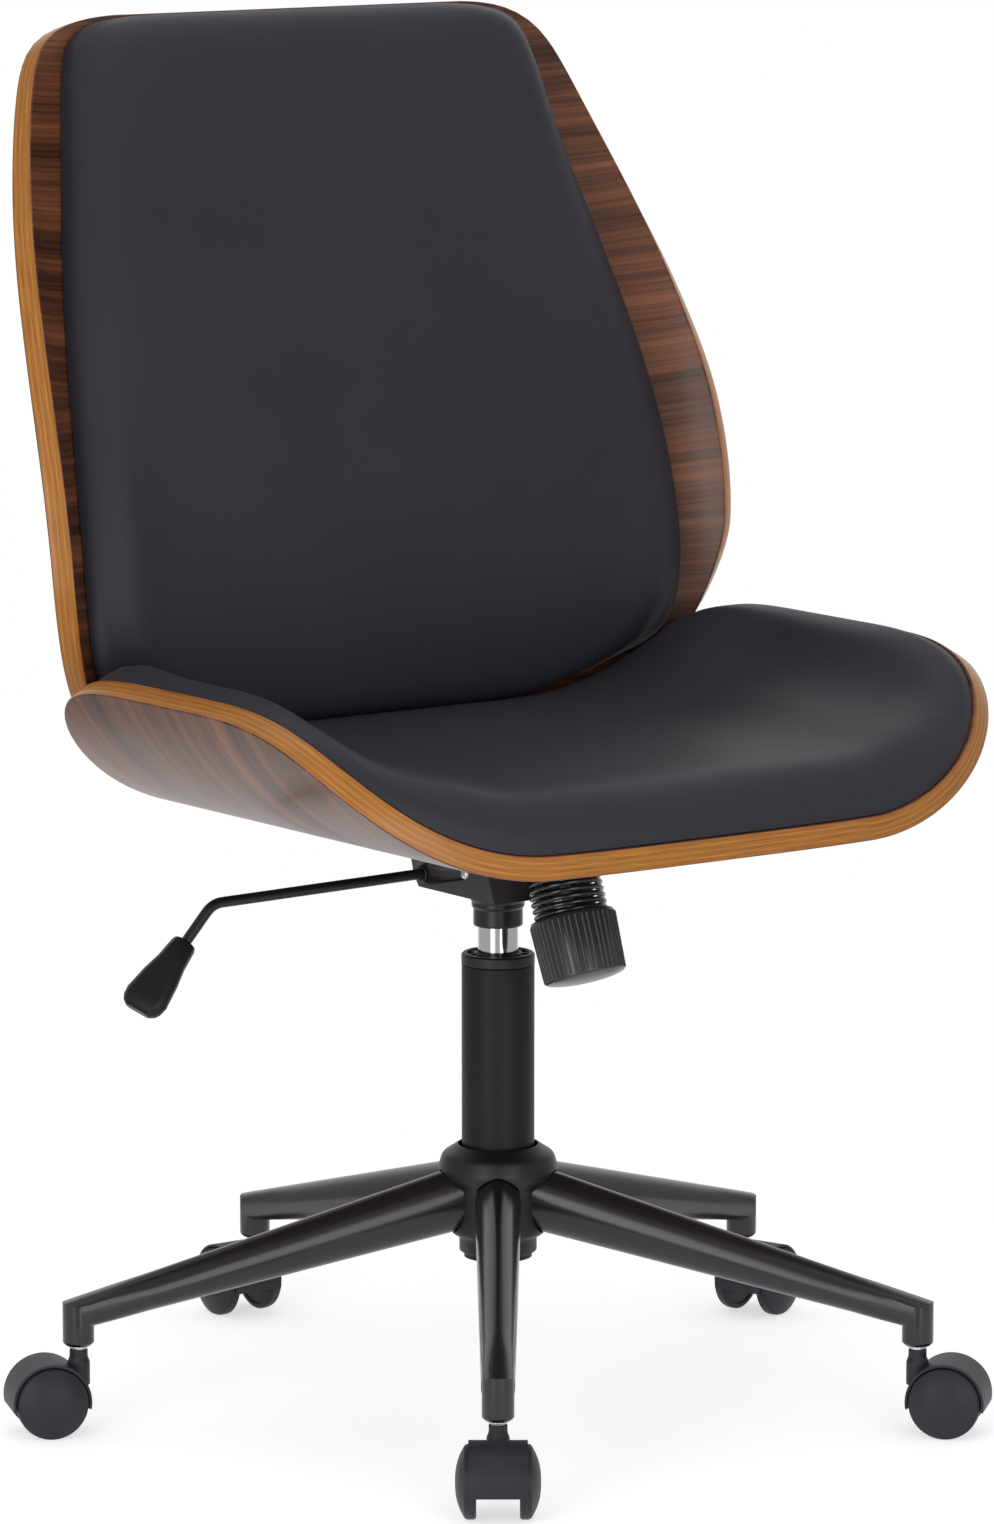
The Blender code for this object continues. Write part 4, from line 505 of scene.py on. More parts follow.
# Gas spring: a chromed cylinder that slides and turns in the bush, on a thin rod held by a clip under the
# tube's floor. Its valve's brass button stands out of the taper on top.
chrome = finish("chromed_cylinder", (0.66, 0.67, 0.68), 0.10, metallic=1.0, spread=0.02, size=40.0,
                bump=0.002, shade=0.03)
brass = finish("valve_brass", (0.62, 0.45, 0.20), 0.32, metallic=1.0, size=300.0, bump=0.02)
gas_low, gas_high = levels("gas_cylinder")
gas_r, valve_r, gas_taper, gas_bore = 0.0140, 0.0043, 0.040, 0.145
gas_profile = [(0.0, gas_high - 0.008), (valve_r, gas_high - 0.008), (valve_r, gas_high),
               (0.0132, gas_high), (gas_r, gas_high - gas_taper), (gas_r, gas_low + 0.001),
               (0.0130, gas_low), (rod_hole_r, gas_low), (rod_hole_r, gas_low + gas_bore),
               (0.0, gas_low + gas_bore)]
piece("gas_tube", turned(eased_corners(gas_profile, 0.0005), 96, on_column), chrome, "lift", "bright_chrome",
      "gas_cylinder")
dress(chrome, "piston_rod")
dress(zinc, "rod_clip")
dress(brass, "release_button")


# Mechanism pan: black pressed steel with bent corners, a turned collar welded under it for the gas
# spring's taper, and a zinc-plated pin across it on which the seat tilts.
def softened(node_name, width, name, material, body, slot, segments=3):
    """A piece with the node's own shape, merged, cleared of flat seams and with its edges rounded."""
    bm = bmesh.new()
    bm.from_mesh(nodes[node_name].data)
    bmesh.ops.remove_doubles(bm, verts=bm.verts, dist=2e-5)
    bmesh.ops.dissolve_limit(bm, angle_limit=math.radians(1.0), verts=bm.verts, edges=bm.edges)
    edges = [e for e in bm.edges if e.is_manifold and e.calc_face_angle() > math.radians(32.0)]
    bmesh.ops.bevel(bm, geom=edges, offset=width, segments=segments, affect="EDGES", clamp_overlap=True)
    bmesh.ops.triangulate(bm, faces=[f for f in bm.faces if len(f.verts) > 4])
    piece(name, bm, material, body, slot, node_name, sharp=30.0)


pressed_black = finish("pressed_steel_enamel", (0.0090, 0.0082, 0.0100), 0.34, size=140.0, bump=0.03,
                       specular=0.45)
# The pan's enamel is the pressed steel's black made several times lighter. This is painted light, standing in
# for the light that the seat's shadow keeps off the pan.
pan_black_painted_light = finish("pan_enamel_painted_light", (0.0320, 0.0285, 0.0340), 0.40, size=140.0, bump=0.03, specular=0.5)
softened("tilt_housing", 0.0009, "mechanism_pan", pan_black_painted_light, "lift", "satin_black_metal")
collar_low, collar_high = levels("column_socket")
flange_z = collar_low + 0.0256
collar_profile = [
    (0.0143, collar_low), (0.0162, collar_low), (0.0170, collar_low + 0.0010), (0.0170, collar_low + 0.0122),
    (0.0176, collar_low + 0.0130), (0.0182, collar_low + 0.0138), (0.0182, collar_low + 0.0167),
    (0.0192, collar_low + 0.0187), (0.0213, collar_low + 0.0242), (0.0213, flange_z), (0.0154, flange_z),
    (0.0154, collar_high), (0.0135, collar_high), (0.0135, collar_high - 0.003),
]
piece("pan_collar", turned(eased_corners(collar_profile, 0.0006, closed=True), 96, on_column), pressed_black,
      "lift", "satin_black_metal", "column_socket")


def box_middle(name):
    low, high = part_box(name)
    return [0.5 * (near + far) for near, far in zip(low, high)]


_, pin_y, pin_z = box_middle("pivot_pin")
pin_end, pin_r, pin_dome_height, pin_dome_steps = 0.0444, 0.00385, 0.0024, 10
pin_collar_x, pin_collar_r, pin_stop_x = 0.0413, 0.0060, 0.0432
dome_turns = [0.5 * math.pi * k / pin_dome_steps for k in range(pin_dome_steps + 1)]
pin_profile = [(pin_r * math.sin(turn), pin_dome_height * (1.0 - math.cos(turn)) - pin_end)
               for turn in dome_turns]
pin_profile += [(pin_r, pin_collar_x), (pin_collar_r, pin_collar_x), (pin_collar_r, pin_stop_x - 0.0006),
                (pin_collar_r - 0.0008, pin_stop_x), (0.0, pin_stop_x)]
pin_place = Matrix.Translation((0.0, pin_y, pin_z)) @ sideways
piece("tilt_pin", turned(pin_profile, 64, pin_place), zinc, "lift", "zinc_steel", "pivot_pin")


# Tension spring: black wound wire in front of the column, round a stud that hangs from the seat plate.
# It stands between the pan's lip and a cup washer that rests in the knob below.
spring_lean = math.radians(21.6)
lip_reach = 0.0516
spring_root = (0.0, pin_y - lip_reach * math.cos(spring_lean), pin_z + lip_reach * math.sin(spring_lean))
spring_frame = Matrix.Translation(spring_root) @ Matrix.Rotation(-spring_lean, 4, "X")
coil_r, wire_r, coil_pitch, coil_length = 0.0236, 0.0019, 0.0045, 0.046
lip_wall = 0.0018
wire_rise = coil_length - 2.0 * wire_r
wire_black = finish("spring_wire_black", (0.0055, 0.0055, 0.0065), 0.22, size=300.0, bump=0.02, coat=0.3)
tree, given = node_group("wound wire", ("Turns", "Float", wire_rise / coil_pitch),
                         ("Radius", "Float", coil_r), ("Height", "Float", wire_rise),
                         ("Wire", "Float", wire_r))
helix = node(tree, "GeometryNodeCurveSpiral", Resolution=48, Rotations=given["Turns"],
             Start_Radius=given["Radius"], End_Radius=given["Radius"], Height=given["Height"])
section = node(tree, "GeometryNodeCurvePrimitiveCircle", Resolution=14, Radius=given["Wire"])
wound = node(tree, "GeometryNodeCurveToMesh", Curve=helix, Profile_Curve=section, Fill_Caps=True)
from_below = Matrix.Translation((0.0, 0.0, -lip_wall - wire_r - wire_rise))
spring = grown("tension_coil", tree, given, wound, spring_frame @ from_below, "lift", "gloss_black_metal",
               "tension_spring", material=wire_black)
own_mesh(spring)
dress(zinc, "tension_bolt")
cup_top = lip_wall + coil_length + 0.0003
cup_wall, cup_r, stud_hole_r = 0.0012, 0.0258, 0.0053
cup_profile = [(stud_hole_r, -cup_top), (cup_r - 0.0018, -cup_top), (cup_r, -cup_top - 0.0003),
               (cup_r, -cup_top - cup_wall), (stud_hole_r, -cup_top - cup_wall)]
piece("cup_washer", turned(cup_profile, 72, spring_frame), zinc, "cup", "zinc_steel", "spring_cup")


# Tension knob: a moulded black grip, slightly narrower at its foot, with fine upright ribs all round and a
# convex end. It is bored for the stud and hollowed at the top for the cup.
def maths(tree, operation, *values, kind="Math"):
    """A node that works an operation out on values or sockets."""
    places = {f"_{place}": value for place, value in enumerate(values)}
    return node(tree, kind, {"operation": operation}, **places)


cup_hollow = 0.0035
knob_top = cup_top + cup_wall + 0.0003 - cup_hollow
knob_height, knob_crown, crown_steps, crown_share = 0.0425, 0.0035, 14, 0.975
knob_head_r, knob_foot_r = 0.0291, 0.0277
hollow_r, knob_bore_r, knob_bore_depth = 0.0264, 0.0043, 0.0295
knob_foot = knob_top + knob_height
knob_black = finish("knob_moulding", (0.0240, 0.0225, 0.0265), 0.27, size=380.0, bump=0.05, specular=0.55)
knob_profile = [(knob_foot_r * crown_share * math.cos(turn), -knob_foot - knob_crown * math.sin(turn) ** 1.3)
                for turn in (0.5 * math.pi * k / crown_steps for k in range(crown_steps, -1, -1))]
knob_profile += [
    (knob_foot_r - 0.0001, 0.0005 - knob_foot), (knob_foot_r, 0.0012 - knob_foot),
    (knob_head_r, -knob_top - 0.0022), (knob_head_r - 0.0009, -knob_top - 0.0004),
    (knob_head_r - 0.0018, -knob_top), (hollow_r, -knob_top), (hollow_r, -knob_top - cup_hollow),
    (knob_bore_r, -knob_top - cup_hollow), (knob_bore_r, -knob_top - knob_bore_depth),
    (0.0, -knob_top - knob_bore_depth),
]
knob_core = piece("knob_core", turned(knob_profile, 112))
rib_sunk = 0.00035
tree, given = node_group("knob ribs", ("Core", "Object", None), ("Count", "Int", 44),
                         ("Rib radius", "Float", 0.00105), ("Length", "Float", knob_height - 0.004),
                         ("Head", "Float", knob_head_r - rib_sunk), ("Foot", "Float", knob_foot_r - rib_sunk),
                         ("Uneven", "Float", 0.050), ("Top", "Float", -knob_top - 0.003))
core = node(tree, "GeometryNodeObjectInfo", Object=given["Core"])
fall = maths(tree, "SUBTRACT", given["Top"], given["Length"])
head = node(tree, "CombineXYZ", X=given["Head"], Z=given["Top"])
foot = node(tree, "CombineXYZ", X=given["Foot"], Z=fall)
line = node(tree, "GeometryNodeCurvePrimitiveLine", Start=head, End=foot)
section = node(tree, "GeometryNodeCurvePrimitiveCircle", Resolution=12, Radius=given["Rib radius"])
rib = node(tree, "GeometryNodeCurveToMesh", Curve=line, Profile_Curve=section, Fill_Caps=True)
spots = node(tree, "GeometryNodePoints", Count=given["Count"])
index = node(tree, "GeometryNodeInputIndex")
share = maths(tree, "DIVIDE", index, given["Count"])
around = maths(tree, "MULTIPLY", share, 2.0 * math.pi)
drift = node(tree, "FunctionNodeRandomValue", {"data_type": "FLOAT"}, Seed=4)
drifted = next(socket for socket in drift.outputs if socket.enabled)
sway = maths(tree, "MULTIPLY_ADD", drifted, given["Uneven"], around)
about = node(tree, "CombineXYZ", Z=sway)
ribs = node(tree, "GeometryNodeInstanceOnPoints", Points=spots, Instance=rib, Rotation=about)
ribbed = node(tree, "GeometryNodeJoinGeometry", Geometry=ribs)
filled(tree, ribbed, Geometry=core.outputs["Geometry"])
grown("ribbed_knob", tree, given, ribbed, spring_frame, "knob", "black_plastic", "tension_knob",
      material=knob_black, core=knob_core)
bpy.data.objects.remove(knob_core, do_unlink=True)


# Height lever: a bent black rod through a nylon bush in the pan's wall. Its inner end is cranked over the
# valve's button and its outer end carries a faceted moulded paddle.
_, lever_y, lever_z = box_middle("lever_bush")
rod_r, rod_steps = 0.00365, 28
bend_x, bend_drop, lever_fall = -0.2146, 0.0025, math.radians(47.5)
rod_tail, bend_round, crank_round, round_steps = 0.046, 0.018, 0.006, 12
button_rise, crank_gap = 0.0085, 0.0004
crank_z = gas_high + button_rise + crank_gap + rod_r
bend = Vector((bend_x, lever_y, lever_z - bend_drop))
outwards = Vector((-math.cos(lever_fall), 0.0, -math.sin(lever_fall)))
corner_points = [
    bend + outwards * rod_tail, bend, Vector((-0.045, lever_y, lever_z)), Vector((-0.0225, lever_y, lever_z)),
    Vector((-0.0195, lever_y - 0.003, lever_z + 0.0015)),
    Vector((-0.0158, column_y + 0.003, crank_z - 0.0015)),
    Vector((-0.0125, column_y, crank_z)), Vector((0.0135, column_y, crank_z)),
]
route = []
for i, point in enumerate(corner_points):
    if i in (0, 2, len(corner_points) - 1):
        route.append(point)
        continue
    before, after = corner_points[i - 1] - point, corner_points[i + 1] - point
    radius = bend_round if i == 1 else crank_round
    reach = min(radius * math.tan(0.5 * (math.pi - before.angle(after))),
                edge_share * min(before.length, after.length))
    start, end = (point + way.normalized() * reach for way in (before, after))
    route += rounding(start, point, end, round_steps)
rings = []
across_y = Vector((0.0, 1.0, 0.0))
side = across_y
for i, point in enumerate(route):
    ahead = (route[min(i + 1, len(route) - 1)] - route[max(i - 1, 0)]).normalized()
    side = (side - ahead * side.dot(ahead)).normalized()
    up = ahead.cross(side)
    rings.append([point + side * x + up * y for x, y in circle(rod_r, rod_steps)])
piece("lever_bar", lofted(rings), pressed_black, "lever", "satin_black_metal", "lever_rod")
softened("lever_bush", 0.0003, "lever_sleeve", moulded_black, "lever_pivot", "black_plastic", segments=2)
handle_start, handle_length = 0.032, 0.058
paddle_turn = math.radians(35.0)
upright = Vector((-math.sin(lever_fall), 0.0, math.cos(lever_fall)))
paddle_across = across_y * math.cos(paddle_turn) + upright * math.sin(paddle_turn)
paddle_up = upright * math.cos(paddle_turn) - across_y * math.sin(paddle_turn)
paddle_stations = (
    (0.0, 0.0100, 0.0095), (0.015, 0.0150, 0.0130), (0.06, 0.0172, 0.0142), (0.30, 0.0202, 0.0142),
    (0.52, 0.0262, 0.0136), (0.60, 0.0275, 0.0132), (0.66, 0.0285, 0.0132), (0.80, 0.0308, 0.0140),
    (0.90, 0.0290, 0.0132), (0.96, 0.0255, 0.0112), (1.0, 0.0190, 0.0070),
)
rings = []
for share, width, depth in paddle_stations:
    centre = bend + outwards * (handle_start + share * handle_length)
    side, top, chamfer = 0.5 * width, 0.5 * depth, 0.30 * depth
    half = [(side, top - chamfer), (side - chamfer, top), (chamfer - side, top), (-side, top - chamfer)]
    outline = [(x, y, 0.0) for x, y in half] + [(-x, -y, 0.0) for x, y in half]
    outline = eased_corners(outline, 0.0011, closed=True, steps=3)
    rings.append([centre + paddle_across * x + paddle_up * y for x, y, _ in outline])
handle_black = finish("paddle_moulding", (0.0040, 0.0036, 0.0046), 0.42, size=500.0, bump=0.05, specular=0.30)
piece("lever_paddle", lofted(rings), handle_black, "lever", "black_plastic", "lever_handle", sharp=24.0)


# Seat plate, bracket and their fasteners: black pressed steel under the seat, held by four hexagon bolts,
# and a bent flat bar that carries the back, held by two screws through its upright.
softened("seat_plate", 0.0007, "under_plate", pressed_black, "seat", "satin_black_metal")
softened("back_bracket", 0.0009, "back_bar", pressed_black, "seat", "satin_black_metal")
seat_bolts = [f"seat_bolt_{number}" for number in (1, 2, 3, 4)]
back_screws = [f"bracket_screw_{number}" for number in (1, 2)]
dress(zinc, *seat_bolts, *back_screws)


# Seat shell: one sheet of walnut-faced ply, pressed to a flat middle with two wings that turn up. Its
# sawn edge shows the pale inner plies; the arrises are lightly rounded and the faces lacquered.
def stretched(tree, place, along, across, detail):
    """Noise on a sheet's own map with a scale for each way."""
    mapping = node(tree, "Mapping", Vector=place, Scale=(along, across, 1.0))
    return node(tree, "TexNoise", Vector=mapping, Scale=1.0, Detail=detail)


def veneer(name, dark, middle, red, gloss, coat):
    """Walnut whose grain runs along U of the sheet's own map, in metres."""
    made, tree, shader = surface(name, Specular_IOR_Level=0.40, Coat_Weight=coat, Coat_Roughness=0.22)
    place = node(tree, "UVMap", {"uv_map": "sheet"})
    drift = node(tree, "TexNoise", Vector=place, Scale=3.0, Detail=2.0).outputs["Color"]
    wander = maths(tree, "MULTIPLY", drift, (0.0, 0.030, 0.0), kind="VectorMath")
    bent = maths(tree, "ADD", place, wander, kind="VectorMath")
    bands = stretched(tree, bent, 1.8, 62.0, 3.0)
    streaks = stretched(tree, bent, 6.0, 430.0, 5.0)
    pores = stretched(tree, bent, 30.0, 1500.0, 2.0)
    figure = maths(tree, "MULTIPLY_ADD", streaks, 0.42, maths(tree, "MULTIPLY", bands, 0.62))
    tint = tinted(tree, figure, (0.38, dark), (0.66, red), (0.52, middle))
    dots = node(tree, "MapRange", Value=pores, From_Min=0.60, From_Max=0.74, To_Max=0.55)
    pored = node(tree, "MixRGB", {"blend_type": "MULTIPLY"}, Fac=dots, Color1=tint,
                 Color2=(0.42, 0.36, 0.34, 1.0))
    rough = node(tree, "MapRange", Value=streaks, To_Min=gloss - 0.04, To_Max=gloss + 0.10)
    relief = node(tree, "Bump", Height=pores, Strength=0.25, Distance=0.00004)
    filled(tree, shader, Base_Color=pored, Roughness=rough, Normal=relief)
    return made


def sawn_edge(name, pale, deep, line, plies, thickness):
    """The sheet's edge: inner plies in turn along V, each with fine streaks along U."""
    made, tree, shader = surface(name, Specular_IOR_Level=0.35, Coat_Weight=0.25, Coat_Roughness=0.18)
    place = node(tree, "UVMap", {"uv_map": "sheet"})
    depth = node(tree, "SeparateXYZ", _0=place).outputs[1]
    fibre = stretched(tree, place, 28.0, 1400.0, 3.0)
    wave = maths(tree, "SINE", maths(tree, "MULTIPLY", depth, math.pi * plies / thickness))
    step = node(tree, "MapRange", Value=wave, From_Min=-0.25, From_Max=0.25)
    tint = node(tree, "MixRGB", Fac=step, Color1=(*pale, 1.0), Color2=(*deep, 1.0))
    glue = maths(tree, "ABSOLUTE", wave)
    thin = node(tree, "MapRange", Value=glue, From_Max=0.16, To_Min=0.55, To_Max=0.0)
    shown = node(tree, "MixRGB", Fac=thin, Color1=tint, Color2=(*line, 1.0))
    streaked = tinted(tree, fibre, (0.35, (0.66, 0.60, 0.52)), (0.60, (1.06, 1.06, 1.06)))
    final = node(tree, "MixRGB", {"blend_type": "MULTIPLY"}, Fac=1.0, Color1=shown, Color2=streaked)
    rough = node(tree, "MapRange", Value=fibre, To_Min=0.36, To_Max=0.52)
    filled(tree, shader, Base_Color=final, Roughness=rough)
    return made


def skinned(bm, top, bottom):
    """Makes a closed body between two grids of points. Gives back the upper grid's vertices, the faces over
    both grids with their places in them, and the faces round the border in order."""
    sheets = [[[bm.verts.new(point) for point in row] for row in grid] for grid in (top, bottom)]
    rows, columns = len(top), len(top[0])
    faces = []
    for sheet in sheets:
        for i in range(rows - 1):
            for j in range(columns - 1):
                spots = ((i, j), (i, j + 1), (i + 1, j + 1), (i + 1, j))
                faces.append((bm.faces.new([sheet[a][b] for a, b in spots]), spots))
    border = [(0, j) for j in range(columns)] + [(i, columns - 1) for i in range(1, rows)]
    border += [(rows - 1, j) for j in range(columns - 2, -1, -1)] + [(i, 0) for i in range(rows - 2, 0, -1)]
    upper, lower = sheets
    sides = [bm.faces.new((upper[a][b], upper[c][d], lower[c][d], lower[a][b]))
             for (a, b), (c, d) in zip(border, border[1:] + border[:1])]
    return upper, faces, sides


outer_ply = 0.02


def sheet_mesh(name, top, bottom, places, face, edge, thickness):
    """A closed sheet between two grids, with a map in metres and its own finish on the border."""
    bm = bmesh.new()
    chart = bm.loops.layers.uv.new("sheet")
    _, faces, sides = skinned(bm, top, bottom)
    last_row, last_column = len(top) - 2, len(top[0]) - 2
    for made, spots in faces:
        i, j = spots[0]
        outermost = i in (0, last_row) or j in (0, last_column)
        made.material_index = int(outermost)
        for loop, (a, b) in zip(made.loops, spots):
            u, v = places[a][b]
            loop[chart].uv = (u + v, outer_ply * thickness) if outermost else (u, v)
    run = 0.0
    for made in sides:
        made.material_index = 1
        end = run + (made.verts[1].co - made.verts[0].co).length
        for loop, spot in zip(made.loops, ((run, 0.0), (end, 0.0), (end, thickness), (run, thickness))):
            loop[chart].uv = spot
        run = end
    bmesh.ops.recalc_face_normals(bm, faces=bm.faces)
    mesh = bpy.data.meshes.new(name)
    mesh.materials.append(face)
    mesh.materials.append(edge)
    bm.to_mesh(mesh)
    bm.free()
    return mesh


def drilled(name, mesh, holes, node_name):
    """A finished sheet of two materials from its mesh and the bodies of its holes."""
    pattern = piece("sheet_pattern", mesh)
    for hole in holes:
        cut(pattern, hole)
    mesh = pattern.data
    bpy.data.objects.remove(pattern, do_unlink=True)
    piece(name, mesh, None, "seat", "walnut_ply", node_name, sharp=50.0)


def arris(distance, radius):
    """How far a rounded arris falls below the face at a distance in from the border."""
    short = max(radius - distance, 0.0)
    return radius - math.sqrt(radius * radius - short * short)


seat_z, seat_t, ply_count = 0.4276, 0.0163, 7
seat_flat, seat_bend_r, seat_bend = 0.130, 0.1707, math.radians(59.8)
seat_half, seat_middle = 0.320, 0.0636
seat_ahead, seat_behind = 0.1834, 0.2025
ahead_round, behind_round = 3.09, 5.46
arris_r = 0.0012
walnut = veneer("walnut_veneer", (0.036, 0.0105, 0.0042), (0.116, 0.0380, 0.0155), (0.230, 0.0790, 0.0320),
                0.31, 0.08)
honey_ply = sawn_edge("ply_edge", (0.500, 0.205, 0.030), (0.420, 0.155, 0.022), (0.200, 0.066, 0.012),
                      ply_count, seat_t)


def seat_point(span, forward, off):
    """A point off the seat's top face, by width measured round the sheet and distance forward."""
    run = abs(span)
    flat = min(run, seat_flat)
    bend = min((run - flat) / seat_bend_r, seat_bend)
    extra = run - flat - seat_bend_r * bend
    across = flat + seat_bend_r * math.sin(bend) + extra * math.cos(bend) - off * math.sin(bend)
    level = seat_z + seat_bend_r * (1.0 - math.cos(bend)) + extra * math.sin(bend) + off * math.cos(bend)
    return math.copysign(across, span), column_y - forward, level


def seat_grid(columns, rows, inset, height_at):
    """Points of the seat's outline filled from its middle outwards, and their places on the sheet."""
    grid, places = [], []
    for b in rows:
        roundness, reach = (ahead_round, seat_ahead) if b > 0.0 else (behind_round, seat_behind)
        reach -= inset
        span = seat_half - inset
        grid.append([])
        places.append([])
        for a in columns:
            out = max(abs(a), abs(b))
            side, ahead = (a / out, b / out) if out > 0.0 else (0.0, 1.0)
            full = (abs(side) ** roundness + abs(ahead) ** roundness) ** (-1.0 / roundness)
            border = math.hypot(span * side * full, reach * ahead * full)
            spot = (span * a * full, seat_middle + reach * b * full)
            height = height_at(spot[0], side, ahead, out, (1.0 - out) * border)
            grid[-1].append(seat_point(*spot, height))
            places[-1].append(spot)
    return grid, places


def even_shares(count, ends):
    """Shares from -1 to 1, evenly spaced but for those that lie close to either end."""
    half = [(1.0 - ends[0]) * i / count for i in range(count + 1)] + [1.0 - end for end in ends[1:]] + [1.0]
    return [-share for share in reversed(half)] + half[1:]


fine = even_shares(44, [0.010, 0.0060, 0.0036, 0.0018, 0.0006])
fine_rows = even_shares(34, [0.012, 0.0070, 0.0040, 0.0018, 0.0006])
seat_top, seat_places = seat_grid(fine, fine_rows, 0.0, lambda *spot: -arris(spot[-1], arris_r))
seat_under, _ = seat_grid(fine, fine_rows, 0.0, lambda *spot: arris(spot[-1], arris_r) - seat_t)
bolt_r, hole_steps, hole_over = 0.0033, 32, 0.0005
seat_holes = []
for name in seat_bolts:
    x, y, _ = box_middle(name)
    low, high = levels(name)
    seat_holes.append(bore(bolt_r, high + hole_over, low, Matrix.Translation((x, y, 0.0)), hole_steps))
seat_mesh = sheet_mesh("seat_sheet", seat_top, seat_under, seat_places, walnut, honey_ply, seat_t)
drilled("seat_sheet", seat_mesh, seat_holes, "seat_shell")


# Seat pad: moulded foam in tightly drawn black faux leather, glued down on the ply. It is full over the
# flat, thins up the wings, and its edge rolls in to the sheet all round.
def grain_leather(name, colour, roughness, tone):
    """Smooth coated upholstery with a fine pebble and broad soft unevenness."""
    made, tree, shader = surface(name, Specular_IOR_Level=0.34, Sheen_Weight=0.02, Sheen_Roughness=0.5)
    place = node(tree, "TexCoord").outputs["Object"]
    cells = node(tree, "TexVoronoi", {"feature": "SMOOTH_F1"}, Vector=place, Scale=950.0)
    creases = node(tree, "TexNoise", Vector=place, Scale=420.0, Detail=5.0)
    broad = node(tree, "TexNoise", Vector=place, Scale=9.0, Detail=3.0)
    tint = tinted(tree, broad, (0.3, toned(colour, -tone)), (0.7, toned(colour, tone)))
    rough = node(tree, "MapRange", Value=creases, To_Min=roughness - 0.05, To_Max=roughness + 0.07)
    height = node(tree, "MixRGB", Fac=0.45, Color1=cells.outputs["Distance"], Color2=creases)
    relief = node(tree, "Bump", Height=height, Strength=0.35, Distance=0.00012)
    filled(tree, shader, Base_Color=tint, Roughness=rough, Normal=relief)
    return made


def ease(low, high, value):
    """A smooth step from 0 to 1 between two values."""
    share = min(max((value - low) / (high - low), 0.0), 1.0)
    return share * share * (3.0 - 2.0 * share)


def dome(distance, reach):
    """Share of the full depth at a distance in from an edge that is rounded over a reach."""
    share = min(max(distance / reach, 0.0), 1.0)
    return math.sqrt(1.0 - (1.0 - share) ** 2.5)


def pad_mesh(top, bottom):
    """A closed pad between two grids that stand one over the other all round the border, whose top is then
    drawn smooth as a stretched cover is."""
    bm = bmesh.new()
    upper, _, _ = skinned(bm, top, bottom)
    inner = [point for row in upper[rim_rows:-rim_rows] for point in row[rim_rows:-rim_rows]]
    for _ in range(ease_rounds):
        bmesh.ops.smooth_vert(bm, verts=inner, factor=0.5, use_axis_x=True, use_axis_y=True, use_axis_z=True)
    return bm


upholstery = grain_leather("black_faux_leather", (0.0230, 0.0215, 0.0300), 0.50, 0.10)
rim_rows, ease_rounds = 4, 26
pad_gap, pad_tuck = 0.0006, 0.0022
seat_pad_inset = 0.002
seat_pad_depth, wing_depth, front_wing_depth = 0.0375, 0.030, 0.0215
thin_from, thin_to = 0.190, 0.270
rear_from, rear_to = 0.28, 0.78
front_from, front_to = 0.05, 0.55
bend_fill, fill_from, fill_to = 0.0045, 0.100, 0.165
seat_crown = 0.003
edge_front, edge_side, edge_rear = 0.046, 0.025, 0.009


def seat_pad_height(span, side, ahead, out, distance):
    """The pad's height over the sheet, by place along it, direction from the middle and distance in."""
    rear = ease(rear_from, rear_to, max(-ahead, 0.0) * out)
    thin = ease(thin_from, thin_to, abs(span)) * (1.0 - rear)
    wing = wing_depth + (front_wing_depth - wing_depth) * ease(front_from, front_to, ahead * out)
    depth = seat_pad_depth + (wing - seat_pad_depth) * thin
    depth += seat_crown * (1.0 - out * out) + bend_fill * ease(fill_from, fill_to, abs(span)) * rear
    share = side * side / (side * side + ahead * ahead)
    reach = edge_side * share + (edge_front if ahead > 0.0 else edge_rear) * (1.0 - share)
    return pad_gap + pad_tuck + (depth - pad_tuck) * dome(distance, reach)


pad_columns = even_shares(44, [0.19, 0.168, 0.147, 0.128, 0.113, 0.10, 0.088, 0.076, 0.064, 0.053, 0.043,
                               0.034, 0.026, 0.019, 0.013, 0.008, 0.004, 0.0015])
pad_rows = even_shares(28, [0.22, 0.20, 0.18, 0.16, 0.14, 0.12, 0.10, 0.083, 0.067, 0.053, 0.040, 0.029,
                            0.019, 0.011, 0.005, 0.0015])
seat_pad_top, _ = seat_grid(pad_columns, pad_rows, seat_pad_inset, seat_pad_height)
seat_pad_under, _ = seat_grid(pad_columns, pad_rows, seat_pad_inset, lambda *spot: pad_gap)
seat_pad = piece("seat_pad", pad_mesh(seat_pad_top, seat_pad_under), upholstery, "seat", "black_upholstery",
                 "seat_cushion", sharp=55.0)


# Back shell: a second walnut-faced sheet on a leaning spine, flat in the middle with sides that come
# forward. Its foot narrows to a tail behind the seat, where the bent bar holds it.
back_f, back_z, back_t = -0.1442, 0.497, 0.0147
back_flat, back_bend_r = 0.1857, 0.1085
back_top, back_tail = 0.4636, -0.078
corner_from, corner_round, corner_cut = 0.32, 8.5, 0.995
lean_middle, lean_top = math.radians(16.03), math.radians(12.65)
lean_middle_at, lean_top_at = 0.22, 0.46
spine_steps = 48
back_widths = (
    (-0.078, 0.120), (-0.060, 0.166), (-0.040, 0.205), (-0.020, 0.235), (0.0, 0.2550), (0.04, 0.2775),
    (0.08, 0.2905), (0.16, 0.2908), (0.24, 0.2768), (0.32, 0.2558), (0.42, 0.2234), (0.46, 0.2104),
)


def through(stations, value):
    """A smooth curve through (place, size) stations."""
    count = len(stations)
    index = 0
    while index < count - 2 and value > stations[index + 1][0]:
        index += 1
    slopes = []
    for i in (index, index + 1):
        before, after = stations[max(i - 1, 0)], stations[min(i + 1, count - 1)]
        slopes.append((after[1] - before[1]) / (after[0] - before[0]))
    (x0, y0), (x1, y1) = stations[index], stations[index + 1]
    span = x1 - x0
    t = (value - x0) / span
    ends = y0 * (1.0 + 2.0 * t) * (1.0 - t) ** 2 + y1 * t * t * (3.0 - 2.0 * t)
    return ends + span * t * (1.0 - t) * (slopes[0] * (1.0 - t) - slopes[1] * t)


